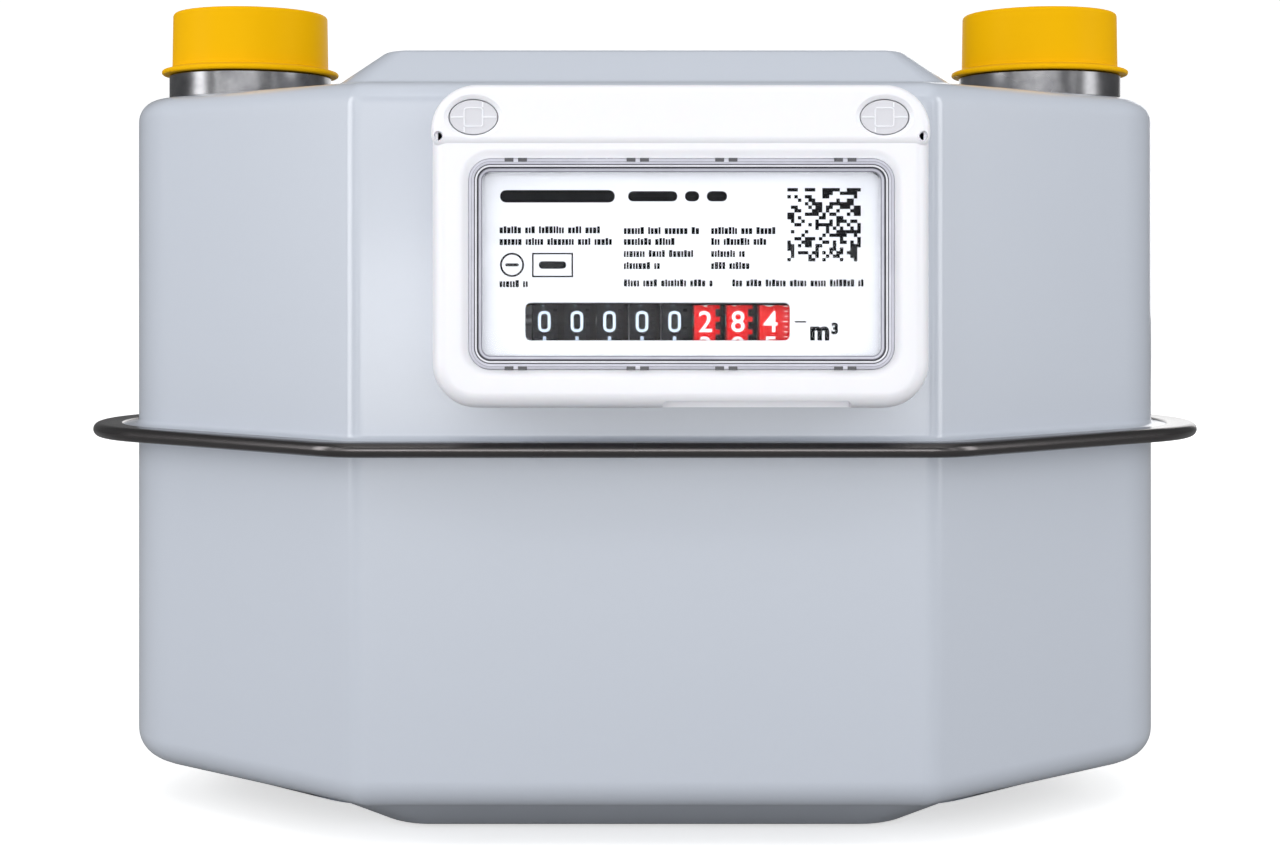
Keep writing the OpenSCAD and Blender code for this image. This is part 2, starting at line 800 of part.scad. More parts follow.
module counter_frame() {
    color("gray") in_frame() difference() {
        union() {
            for (x = cheek_x) cheek(x);
            for (y = top_bar_y) translate([cheek_x[0], y, frame_top_z - bar_h])
                cube([cheek_x[1] - cheek_x[0], bar_w, bar_h]);
            translate([cheek_x[0], low_bar_y, low_bar_z])
                cube([cheek_x[1] - cheek_x[0], bar_w, bar_h]);
        }
        for (x = cheek_x) {
            x_rod(x - over, drum_y, drum_z, cheek_t + 2 * over, drum_shaft_r + run_gap);
            x_rod(x - over, pinion_y, pinion_z, cheek_t + 2 * over, pinion_shaft_r + run_gap);
            x_rod(x - over, drum_y, arbor_z, cheek_t + 2 * over, arbor_r + run_gap);
        }
    }
}

module counter_rod(y, z, r) {
    x_rod(cheek_x[0] - shaft_past, y, z, cheek_x[1] - cheek_x[0] + cheek_t + 2 * shaft_past, r);
}

module drum_shaft() {
    color("silver") in_frame() counter_rod(drum_y, drum_z, drum_shaft_r);
}

module pinion_shaft() {
    color("silver") in_frame() counter_rod(pinion_y, pinion_z, pinion_shaft_r);
}

module index_arbor() {
    color("goldenrod") in_frame() union() {
        counter_rod(drum_y, arbor_z, arbor_r);
        gear_x(index_gear_x, drum_y, arbor_z, index_gear_w, pinion_teeth, arbor_module,
            180 / pinion_teeth);
    }
}

module contrate_wheel() {
    color("goldenrod") in_frame() translate([contrate_x, drum_y, arbor_z]) rotate([0, 90, 0])
        difference() {
            union() {
                translate([0, 0, -tooth_foot * contrate_module - contrate_disc_t])
                    cylinder(h = contrate_disc_t, r = contrate_r + contrate_face / 2);
                crown_ring(crown_teeth, contrate_module, contrate_face, 0);
            }
            translate([0, 0, -2 * contrate_disc_t - over]) cylinder(h = 4 * contrate_disc_t, r = arbor_r);
        }
}

// Number drum: plain rim, toothed ring on its right, carry disc on its left.
module drum(place) {
    x = drum_x + place * drum_pitch;
    last = place == drum_count - 1;
    rim_w = drum_w + (last ? last_extra_w : 0);
    right_x = x - drum_w / 2 + rim_w;
    color(place < drum_count - 3 ? "black" : "firebrick") in_frame() difference() {
        union() {
            x_rod(x - drum_w / 2, drum_y, drum_z, rim_w, drum_r);
            if (place > 0) x_rod(x - drum_w / 2 - ring_w, drum_y, drum_z, ring_w, carry_r);
            if (last) {
                x_rod(right_x, drum_y, drum_z, index_gear_x - right_x, carry_r);
                gear_x(index_gear_x, drum_y, drum_z, index_gear_w, drum_teeth, arbor_module, 0);
            } else {
                gear_x(right_x, drum_y, drum_z, ring_w, drum_teeth, transfer_module, transfer_a);
            }
        }
        x_rod(x - drum_w, drum_y, drum_z, 3 * drum_w, drum_shaft_r + run_gap);
        if (last) magnet_hole(x);
    }
}

module magnet_hole(x) {
    x_rod(x - magnet_len / 2, drum_y, drum_z - magnet_offset, magnet_len, magnet_r);
}

module drum_1() { drum(0); }
module drum_2() { drum(1); }
module drum_3() { drum(2); }
module drum_4() { drum(3); }
module drum_5() { drum(4); }
module drum_6() { drum(5); }
module drum_7() { drum(6); }
module drum_8() { drum(7); }

module pulse_magnet() {
    color("dimgray") in_frame() magnet_hole(last_x);
}

// Pinion below the gap between two drums: it reaches the ring on its left and the carry disc.
module transfer_pinion(place) {
    x = drum_x + place * drum_pitch + drum_w / 2 + side_gap;
    w = drum_pitch - drum_w - 2 * side_gap;
    color("ivory") in_frame() difference() {
        gear_x(x, pinion_y, pinion_z, w, pinion_teeth, transfer_module,
            transfer_a + 180 + 180 / pinion_teeth);
        x_rod(x - over, pinion_y, pinion_z, w + 2 * over, pinion_shaft_r + run_gap);
    }
}

module transfer_pinion_1() { transfer_pinion(0); }
module transfer_pinion_2() { transfer_pinion(1); }
module transfer_pinion_3() { transfer_pinion(2); }
module transfer_pinion_4() { transfer_pinion(3); }
module transfer_pinion_5() { transfer_pinion(4); }
module transfer_pinion_6() { transfer_pinion(5); }
module transfer_pinion_7() { transfer_pinion(6); }

module drive_shaft() {
    color("silver") in_frame() y_rod(crank_x, drive_z, drive_back_y, index_pinion_y, drive_r);
}

module drive_pinion() {
    color("ivory") in_frame() difference() {
        gear_y(crank_x, -crown_r - drive_pinion_w / 2, drive_z, drive_pinion_w, drive_teeth, crown_module,
            180 / drive_teeth);
        y_rod(crank_x, drive_z, 0, -wall_y, drive_r);
    }
}

// The pinion at the index end is cut on the shaft's own diameter, so it is a sleeve over its tip.
module index_pinion() {
    color("goldenrod") in_frame() difference() {
        gear_y(crank_x, index_pinion_y - index_pinion_w, drive_z, index_pinion_w, pinion_teeth,
            contrate_module, 180 / pinion_teeth);
        y_rod(crank_x, drive_z, 0, index_pinion_y, drive_r);
    }
}

module shaft_gland() {
    color("goldenrod") in_frame() difference() {
        union() {
            y_rod(crank_x, drive_z, -wall_y + gland_in, base_front_y - gland_short, gland_r);
            y_rod(crank_x, drive_z, -wall_y + gland_in, -wall_y + sheet_t, gland_flange_r);
        }
        y_rod(crank_x, drive_z, 0, face_y, drive_r + run_gap);
    }
}

module unit_outline(w, h, r) {
    translate([0, mid_z]) round_rect(w, h, r);
}

module flag_places() {
    for (side = [-1, 1]) translate([flag_x, side * flag_y, 0]) children();
}

module measuring_body() {
    color("slategray") in_frame() union() {
        difference() {
            from_front(body_half_d, -body_half_d) unit_outline(body_w, body_h, body_r);
            from_front(-divider_half_t, -body_half_d - over) unit_outline(chamber_w, chamber_h, chamber_r);
            from_front(body_half_d + over, divider_half_t) unit_outline(chamber_w, chamber_h, chamber_r);
            flag_places() translate([0, 0, mid_z]) cylinder(h = body_h, r = flag_r + flag_room);
        }
        for (x = [-foot_x, foot_x]) translate([x, 0, sheet_t + body_z / 2])
            cube([foot_w, foot_d, body_z - 2 * sheet_t + foot_sink], center = true);
    }
}

module pan_cover(side) {
    color("slategray") in_frame() mirror([0, side > 0 ? 1 : 0, 0]) difference() {
        union() {
            from_front(-body_half_d - skin_t, -body_half_d - skin_t - pan_t)
                unit_outline(body_w, body_h, body_r);
            from_front(-body_half_d - skin_t, -body_half_d - skin_t - pan_depth)
                unit_outline(chamber_w + 2 * pan_t, chamber_h + 2 * pan_t, chamber_r + pan_t);
        }
        from_front(-body_half_d, -body_half_d - skin_t - pan_depth + pan_t)
            unit_outline(chamber_w, chamber_h, chamber_r);
    }
}

module front_pan_cover() {
    pan_cover(-1);
}

module rear_pan_cover() {
    pan_cover(1);
}

// Skirt from the clamped rim to the plates; reach is how far the plates stand towards the middle.
module skirt(grow, reach) {
    hull() {
        from_front(-body_half_d + grow, -body_half_d - skin_t)
            unit_outline(chamber_w - skirt_step - grow, chamber_h - skirt_step - grow,
                chamber_r - skirt_step);
        from_front(-body_half_d + reach + grow, -body_half_d - skin_t + reach)
            unit_outline(plate_w + skirt_step, plate_h + skirt_step, plate_r);
    }
}

module diaphragm(side, reach) {
    color("tan") in_frame() mirror([0, side > 0 ? 1 : 0, 0]) union() {
        difference() {
            from_front(-body_half_d, -body_half_d - skin_t) unit_outline(body_w, body_h, body_r);
            from_front(0, -wall_y)
                unit_outline(chamber_w - skirt_step, chamber_h - skirt_step, chamber_r - skirt_step);
        }
        difference() {
            skirt(0, reach);
            translate([0, -skin_t, 0]) skirt(0, reach);
            from_front(0, -wall_y) unit_outline(plate_w, plate_h, plate_r);
        }
        from_front(-body_half_d + reach, -body_half_d - skin_t + reach)
            unit_outline(plate_w + skirt_step, plate_h + skirt_step, plate_r);
    }
}

module front_diaphragm() {
    diaphragm(-1, 0);
}

module rear_diaphragm() {
    diaphragm(1, half_stroke);
}

// Two clamping plates and the slotted bracket that the flag arm's pin runs in.
module diaphragm_plates(side, reach) {
    fork_y = -body_half_d + fork_out;
    w = plate_w - 2 * plate_margin;
    h = plate_h - 2 * plate_margin;
    r = plate_r - plate_margin;
    color("silver") in_frame() mirror([0, side > 0 ? 1 : 0, 0]) translate([0, reach, 0]) {
        from_front(-body_half_d - skin_t, -body_half_d - skin_t - plate_t) unit_outline(w, h, r);
        from_front(-body_half_d + plate_t, -body_half_d) unit_outline(w, h, r);
        difference() {
            translate([fork_x, -body_half_d + plate_t, fork_z])
                cube([fork_len, fork_out - plate_t + 2 * fork_gap, fork_t]);
            translate([fork_x + fork_slot_inset, fork_y - fork_gap, fork_z - over])
                cube([fork_len - 2 * fork_slot_inset, 2 * fork_gap, fork_t + 2 * over]);
        }
    }
}

module front_diaphragm_plates() {
    diaphragm_plates(-1, 0);
}

module rear_diaphragm_plates() {
    diaphragm_plates(1, half_stroke);
}

module gallery_plate() {
    color("slategray") in_frame() difference() {
        translate([0, 0, gallery_z]) linear_extrude(gallery_t)
            round_rect(body_w, 2 * body_half_d, gallery_r);
        flag_places() translate([0, 0, gallery_z - over])
            cylinder(h = gallery_t + 2 * over, r = flag_r + run_gap);
        translate([duct_x, 0, gallery_z - over])
            cylinder(h = gallery_t + 2 * over, r = duct_r - duct_wall);
        for (a = [45 : 90 : 315]) translate([crank_x, 0, gallery_z - over]) rotate([0, 0, a])
            translate([port_at, 0, 0]) cylinder(h = gallery_t + 2 * over, r = port_r);
    }
}

module valve_seat() {
    color("dimgray") in_frame() translate([crank_x, 0, seat_z]) difference() {
        cylinder(h = seat_t, r = seat_r);
        translate([0, 0, seat_t / 4]) cylinder(h = seat_t, r = spindle_r + run_gap);
        for (a = [45 : 90 : 315]) rotate([0, 0, a]) translate([port_at, 0, -over])
            cylinder(h = seat_t + 2 * over, r = port_r);
    }
}

module valve_rotor() {
    color("ivory") in_frame() translate([crank_x, 0, rotor_z]) difference() {
        cylinder(h = rotor_t, r = rotor_r);
        translate([0, 0, -over]) cylinder(h = rotor_t + 2 * over, r = spindle_r);
        rotate([0, 0, 45]) translate([port_at, 0, -over]) cylinder(h = rotor_t + 2 * over, r = port_r);
        rotate([0, 0, 225]) translate([port_at, 0, -over])
            cylinder(h = rotor_t + over - cup_roof_t, r = cup_r);
    }
}

module crank_spindle() {
    color("silver") in_frame() translate([crank_x, 0, seat_z + seat_t / 4 + 2 * run_gap])
        cylinder(h = arm_z + arm_t - seat_z - seat_t / 4 - 2 * run_gap, r = spindle_r);
}

module crown_gear() {
    color("ivory") in_frame() translate([crank_x, 0, 0]) difference() {
        union() {
            translate([0, 0, crown_z])
                cylinder(h = crown_pitch_z - tooth_foot * crown_module - crown_z,
                    r = crown_r + crown_face / 2);
            translate([0, 0, crown_pitch_z]) crown_ring(crown_teeth, crown_module, crown_face, 0);
        }
        translate([0, 0, crown_z - over]) cylinder(h = crown_t + 4 * over, r = spindle_r);
    }
}

module crank_arm() {
    color("silver") in_frame() union() {
        difference() {
            translate([crank_x, 0, arm_z]) cylinder(h = arm_t, r = arm_r);
            translate([crank_x, 0, arm_z - over]) cylinder(h = arm_t + 2 * over, r = spindle_r);
        }
        translate([crank_pin.x, crank_pin.y, arm_z + arm_t]) cylinder(h = pin_h, r = pin_r);
    }
}

module crank_bridge() {
    color("gray") in_frame() translate([crank_x, 0, 0]) difference() {
        union() {
            translate([-bridge_leg_x - bridge_leg_t, -bridge_half_d, bridge_z])
                cube([2 * (bridge_leg_x + bridge_leg_t), 2 * bridge_half_d, bridge_t]);
            for (x = [-bridge_leg_x - bridge_leg_t, bridge_leg_x])
                translate([x, -bridge_half_d, seat_z])
                    cube([bridge_leg_t, 2 * bridge_half_d, bridge_z + bridge_t - seat_z]);
            translate([-bridge_tongue_w / 2, -2 * bridge_half_d, bridge_z]) {
                cube([bridge_tongue_w, bridge_half_d + over, bridge_t]);
                cube([bridge_tongue_w, bridge_stop_t, arm_z - bridge_z - bridge_stop_gap]);
            }
        }
        translate([0, 0, bridge_z - over]) cylinder(h = bridge_t + 2 * over, r = spindle_r + run_gap);
        translate([0, 0, drive_z]) rotate([90, 0, 0]) cylinder(h = 3 * bridge_half_d, r = drive_r + run_gap);
    }
}

// Flag rod with its arm inside the chamber and its lever above the gallery.
module flag_rod(side, turn) {
    color("silver") in_frame() mirror([0, side > 0 ? 1 : 0, 0]) translate([flag_x, -flag_y, 0])
        rotate([0, 0, turn]) {
            difference() {
                union() {
                    translate([0, 0, flag_foot_z])
                        cylinder(h = lever_z + lever_t - flag_foot_z, r = flag_r);
                    rotate([0, 0, -arm_a])
                        flat_arm(arm_len, arm_level, flag_arm_t, pin_r, flag_r + hub_step);
                    rotate([0, 0, -lever_a])
                        flat_arm(lever_len, lever_z, lever_t, rivet_r, flag_r + lever_hub_step);
                }
                rotate([0, 0, -lever_a]) translate([lever_len, 0, lever_z - over])
                    cylinder(h = lever_t + 2 * over, r = rivet_r + run_gap);
            }
            rotate([0, 0, -arm_a]) translate([arm_len, 0, fork_z - pin_drop])
                cylinder(h = arm_level - fork_z + pin_drop, r = pin_r);
        }
}

// Flat bar from the origin along X, with a round eye at its far end.
module flat_arm(len, z, t, end_r, root_r) {
    translate([0, -flat_arm_w / 2, z]) cube([len, flat_arm_w, t]);
    translate([len, 0, z]) cylinder(h = t, r = end_r + eye_wall);
    translate([0, 0, z]) cylinder(h = t, r = root_r);
}

module front_flag_rod() {
    flag_rod(-1, 0);
}

module rear_flag_rod() {
    flag_rod(1, flag_swing);
}

// Link from a lever's tip to the crank pin, with the rivet that it turns on.
module link(side, turn, z) {
    tip = [flag_x, side * flag_y] + lever_len * ray(side * (lever_a - turn));
    run = crank_pin - tip;
    color("gainsboro") in_frame() translate([tip.x, tip.y, 0]) rotate([0, 0, atan2(run.y, run.x)]) {
        translate([0, 0, lever_z - link_gap]) cylinder(h = z - lever_z + link_gap, r = rivet_r);
        difference() {
            union() {
                translate([0, -link_w / 2, z]) cube([norm(run), link_w, link_t]);
                for (x = [0, norm(run)]) translate([x, 0, z]) cylinder(h = link_t, r = link_eye_r);
            }
            translate([norm(run), 0, z - over]) cylinder(h = link_t + 2 * over, r = pin_r + run_gap);
        }
    }
}

module front_link() {
    link(-1, 0, link_z);
}

module rear_link() {
    link(1, flag_swing, link_z + link_t + link_gap);
}

// Bent pipe from the gallery plate to the outlet spout's tail.
module outlet_duct() {
    color("slategray") in_frame() difference() {
        union() {
            translate([duct_x, 0, seat_z]) cylinder(h = duct_run_z - seat_z, r = duct_r);
            translate([duct_x, 0, duct_run_z]) sphere(r = duct_r);
            x_rod(duct_x, 0, duct_run_z, spout_pitch / 2 - duct_x, duct_r);
            translate([spout_pitch / 2, 0, duct_run_z - duct_r - duct_wall])
                cylinder(h = shoulder_z - sheet_t - duct_short - duct_run_z + duct_r + duct_wall,
                    r = tail_r + duct_wall);
        }
        translate([duct_x, 0, seat_z - over])
            cylinder(h = duct_run_z - seat_z + over, r = duct_r - duct_wall);
        translate([duct_x, 0, duct_run_z]) sphere(r = duct_r - duct_wall);
        x_rod(duct_x, 0, duct_run_z, spout_pitch / 2 - duct_x, duct_r - duct_wall);
        translate([spout_pitch / 2, 0, duct_run_z - duct_r])
            cylinder(h = shoulder_z - duct_run_z + duct_r, r = tail_r + run_gap);
    }
}

upper_casing();
lower_casing();
casing_gasket();
crimp_band();
inlet_spout();
outlet_spout();
inlet_cap();
outlet_cap();
index_base();
base_rivets();
index_cover();
index_window();
dial_plate();
left_tamper_plug();
right_tamper_plug();
index_screws();
counter_frame();
drum_shaft();
pinion_shaft();
index_arbor();
contrate_wheel();
drum_1();
drum_2();
drum_3();
drum_4();
drum_5();
drum_6();
drum_7();
drum_8();
transfer_pinion_1();
transfer_pinion_2();
transfer_pinion_3();
transfer_pinion_4();
transfer_pinion_5();
transfer_pinion_6();
transfer_pinion_7();
pulse_magnet();
drive_shaft();
drive_pinion();
index_pinion();
shaft_gland();
measuring_body();
front_pan_cover();
rear_pan_cover();
front_diaphragm();
rear_diaphragm();
front_diaphragm_plates();
rear_diaphragm_plates();
gallery_plate();
valve_seat();
valve_rotor();
crank_spindle();
crown_gear();
crank_arm();
crank_bridge();
front_flag_rod();
rear_flag_rod();
front_link();
rear_link();
outlet_duct();
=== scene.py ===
import json
import math
import random

import bmesh
import bpy
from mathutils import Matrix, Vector


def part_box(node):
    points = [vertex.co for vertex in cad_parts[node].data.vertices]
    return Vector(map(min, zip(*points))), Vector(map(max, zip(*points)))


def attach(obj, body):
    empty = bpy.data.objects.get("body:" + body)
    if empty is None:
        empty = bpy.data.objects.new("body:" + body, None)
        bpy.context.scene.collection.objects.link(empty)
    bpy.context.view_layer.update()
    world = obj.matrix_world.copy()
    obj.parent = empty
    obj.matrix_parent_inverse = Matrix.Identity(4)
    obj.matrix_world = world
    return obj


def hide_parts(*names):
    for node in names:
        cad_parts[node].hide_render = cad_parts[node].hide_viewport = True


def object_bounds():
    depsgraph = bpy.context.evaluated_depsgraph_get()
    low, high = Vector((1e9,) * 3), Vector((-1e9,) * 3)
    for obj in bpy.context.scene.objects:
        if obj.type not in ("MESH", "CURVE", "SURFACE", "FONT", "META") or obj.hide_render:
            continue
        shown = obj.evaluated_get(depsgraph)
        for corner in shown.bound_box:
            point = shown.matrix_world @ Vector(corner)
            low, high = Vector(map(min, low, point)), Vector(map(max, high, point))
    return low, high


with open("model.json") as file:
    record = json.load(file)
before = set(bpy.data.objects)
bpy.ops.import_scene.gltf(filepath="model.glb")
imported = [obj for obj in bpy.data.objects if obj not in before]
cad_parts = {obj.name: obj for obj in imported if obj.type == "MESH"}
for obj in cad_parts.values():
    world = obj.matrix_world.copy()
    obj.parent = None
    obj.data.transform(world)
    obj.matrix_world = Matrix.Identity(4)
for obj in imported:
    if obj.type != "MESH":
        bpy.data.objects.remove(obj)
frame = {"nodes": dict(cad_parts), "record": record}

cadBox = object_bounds()
mm = 0.001
root = "casing"
bandLow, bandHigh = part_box("crimp_band")
midY = (bandLow.y + bandHigh.y) / 2  # mid-plane of the casing, which is symmetric front to back
print("stage: frame loaded")


# every piece is made in the row frame, with its object at the origin
def stackRings(rings, loop=False):
    # points and faces of a surface through rings of equal length; open stacks get flat ends
    count, total = len(rings[0]), len(rings)
    points = [point for ring in rings for point in ring]
    faces = []
    for k in range(total if loop else total - 1):
        for i in range(count):
            nextRing, j = (k + 1) % total, (i + 1) % count
            faces.append((k * count + i, nextRing * count + i, nextRing * count + j, k * count + j))
    if not loop:
        faces.append(tuple(range(count)))
        faces.append(tuple(range((total - 1) * count, total * count))[::-1])
    return points, faces


def joinParts(parts):
    # several (points, faces) lists as one
    points, faces = [], []
    for partPoints, partFaces in parts:
        start = len(points)
        points += partPoints
        faces += [tuple(start + i for i in face) for face in partFaces]
    return points, faces


def makePiece(name, points, faces):
    mesh = bpy.data.meshes.new(name)
    mesh.from_pydata([tuple(p) for p in points], [], faces)
    tidy = bmesh.new()
    tidy.from_mesh(mesh)
    bmesh.ops.remove_doubles(tidy, verts=tidy.verts, dist=1e-7)
    bmesh.ops.dissolve_degenerate(tidy, edges=tidy.edges, dist=1e-8)
    bmesh.ops.recalc_face_normals(tidy, faces=tidy.faces)
    tidy.to_mesh(mesh)
    tidy.free()
    piece = bpy.data.objects.new(name, mesh)
    bpy.context.scene.collection.objects.link(piece)
    return piece


def cutAway(piece, *cutters):
    for cutter in cutters:
        cut = piece.modifiers.new("cut", "BOOLEAN")
        cut.operation = "DIFFERENCE"
        cut.solver = "EXACT"
        cut.object = cutter
    bpy.context.view_layer.update()
    solved = piece.evaluated_get(bpy.context.evaluated_depsgraph_get())
    piece.data = bpy.data.meshes.new_from_object(solved)
    piece.modifiers.clear()
    for cutter in cutters:
        bpy.data.objects.remove(cutter)
    return piece


def dress(piece, body, finish, replaced=(), sharpAngle=34):
    mesh = piece.data
    if not mesh.materials:
        mesh.materials.append(finishes[finish])
    mesh.shade_smooth()
    mesh.set_sharp_from_angle(angle=math.radians(sharpAngle))
    even = piece.modifiers.new("evenNormals", "WEIGHTED_NORMAL")
    even.keep_sharp = True
    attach(piece, body)
    if replaced:
        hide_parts(*replaced)
    return piece


def arcPoints(steps, fromAngle, toAngle):
    # unit vectors along an arc, in degrees
    angles = [math.radians(fromAngle + (toAngle - fromAngle) * i / steps) for i in range(steps + 1)]
    return [(math.cos(a), math.sin(a)) for a in angles]


def roundRect(halfW, halfH, radius, steps=12):
    # closed outline, anticlockwise from the right side
    corner = [(halfW - radius + radius * c, halfH - radius + radius * s) for c, s in arcPoints(steps, 0, 90)]
    left = [(-x, y) for x, y in reversed(corner)]
    return corner + left + [(-x, -y) for x, y in corner] + [(x, -y) for x, y in reversed(corner)]


def ovalOutline(halfW, halfH, steps=72):
    return [(halfW * c, halfH * s) for c, s in arcPoints(steps, 0, 360)[:-1]]


def inMetres(pairs):
    # outlines and profiles are written in mm
    return [(u * mm, v * mm) for u, v in pairs]


def facing(outline, centreX, centreZ, y):
    # an outline drawn on the front, at depth y
    return [Vector((centreX + u, y, centreZ + v)) for u, v in outline]


def turned(profile, centre, axis="Z", steps=96):
    # rings of a profile of (radius, height) pairs turned about an axis through centre
    rings = []
    for radius, height in profile:
        ring = []
        for c, s in arcPoints(steps, 0, 360)[:-1]:
            if axis == "Z":
                ring.append(centre + Vector((radius * c, radius * s, height)))
            else:
                ring.append(centre + Vector((height, -radius * c, radius * s)))
        rings.append(ring)
    return rings


def slab(x0, x1, z0, z1, y0, y1, bevel=0.0):
    # a small block on the front, its front edges bevelled
    midX, midZ = (x0 + x1) / 2, (z0 + z1) / 2
    halfW, halfH = (x1 - x0) / 2, (z1 - z0) / 2
    square = [(halfW, halfH), (-halfW, halfH), (-halfW, -halfH), (halfW, -halfH)]
    small = [(u - math.copysign(bevel, u), v - math.copysign(bevel, v)) for u, v in square]
    steps = ((square, y1), (square, y0 + bevel), (small, y0))
    return stackRings([facing(outline, midX, midZ, y) for outline, y in steps])


def eased(t):
    t = min(max(t, 0.0), 1.0)
    return t * t * (3 - 2 * t)


# finishes

def newGroup(name, inputs, outputs):
    tree = bpy.data.node_groups.new(name, "ShaderNodeTree")
    for label, (kind, value) in inputs.items():
        socket = tree.interface.new_socket(label, in_out="INPUT", socket_type=kind)
        socket.default_value = value
    for label in outputs:
        tree.interface.new_socket(label, in_out="OUTPUT", socket_type="NodeSocketFloat")
    return tree, tree.nodes.new("NodeGroupInput"), tree.nodes.new("NodeGroupOutput")


def makeSurfaceGrain():
    # fine height and broad patches, stretched along any axis for brushed or drawn metal
    inputs = {"Scale": ("NodeSocketFloat", 900.0), "Patch Scale": ("NodeSocketFloat", 18.0),
              "Stretch": ("NodeSocketVector", (1.0, 1.0, 1.0))}
    tree, start, end = newGroup("surfaceGrain", inputs, ["Height", "Patch"])
    place = tree.nodes.new("ShaderNodeTexCoord")
    stretch = tree.nodes.new("ShaderNodeVectorMath")
    stretch.operation = "MULTIPLY"
    fine = tree.nodes.new("ShaderNodeTexNoise")
    fine.inputs["Detail"].default_value = 3
    broad = tree.nodes.new("ShaderNodeTexNoise")
    broad.inputs["Detail"].default_value = 2
    tree.links.new(place.outputs["Object"], stretch.inputs[0])
    tree.links.new(start.outputs["Stretch"], stretch.inputs[1])
    tree.links.new(stretch.outputs["Vector"], fine.inputs["Vector"])
    tree.links.new(place.outputs["Object"], broad.inputs["Vector"])
    tree.links.new(start.outputs["Scale"], fine.inputs["Scale"])
    tree.links.new(start.outputs["Patch Scale"], broad.inputs["Scale"])
    tree.links.new(fine.outputs["Fac"], end.inputs["Height"])
    tree.links.new(broad.outputs["Fac"], end.inputs["Patch"])
    return tree


def finishMask(tree, start, end, mask, scaleLabel, detail):
    # the mask broken up by noise, times the group's amount
    place = tree.nodes.new("ShaderNodeTexCoord")
    spots = tree.nodes.new("ShaderNodeTexNoise")
    spots.inputs["Detail"].default_value = detail
    tree.links.new(place.outputs["Object"], spots.inputs["Vector"])
    tree.links.new(start.outputs[scaleLabel], spots.inputs["Scale"])
    for factor in (spots.outputs["Fac"], start.outputs["Amount"]):
        product = tree.nodes.new("ShaderNodeMath")
        product.operation = "MULTIPLY"
        tree.links.new(mask, product.inputs[0])
        tree.links.new(factor, product.inputs[1])
        mask = product.outputs["Value"]
    tree.links.new(mask, end.inputs["Mask"])


def makeEdgeWear():
    # 1 on sharp outer edges
    inputs = {"Amount": ("NodeSocketFloat", 0.3), "Break Up": ("NodeSocketFloat", 160.0)}
    tree, start, end = newGroup("edgeWear", inputs, ["Mask"])
    shape = tree.nodes.new("ShaderNodeNewGeometry")
    edge = tree.nodes.new("ShaderNodeMapRange")
    edge.inputs["From Min"].default_value = 0.53
    edge.inputs["From Max"].default_value = 0.6
    tree.links.new(shape.outputs["Pointiness"], edge.inputs["Value"])
    finishMask(tree, start, end, edge.outputs["Result"], "Break Up", 2)
    return tree


def makeDust():
    # light dust on what faces up
    inputs = {"Amount": ("NodeSocketFloat", 0.1), "Scale": ("NodeSocketFloat", 60.0)}
    tree, start, end = newGroup("dust", inputs, ["Mask"])
    shape = tree.nodes.new("ShaderNodeNewGeometry")
    parts = tree.nodes.new("ShaderNodeSeparateXYZ")
    up = tree.nodes.new("ShaderNodeMapRange")
    up.inputs["From Min"].default_value = 0.6
    tree.links.new(shape.outputs["Normal"], parts.inputs["Vector"])
    tree.links.new(parts.outputs["Z"], up.inputs["Value"])
    finishMask(tree, start, end, up.outputs["Result"], "Scale", 4)
    return tree


surfaceGrain = makeSurfaceGrain()
edgeWear = makeEdgeWear()
dust = makeDust()

plainFinish = {
    "base": (0.5, 0.5, 0.5), "tone": None, "worn": None, "dusty": (0.62, 0.6, 0.57),
    "rough": 0.4, "roughSpread": 0.08, "metallic": 0.0, "coat": 0.0, "coatRough": 0.15, "specular": 0.5,
    "grain": 900.0, "patch": 18.0, "stretch": (1.0, 1.0, 1.0), "bump": 0.15, "depth": 0.02,
    "wear": 0.2, "dust": 0.08, "sheen": 0.0, "subsurface": 0.0,
}


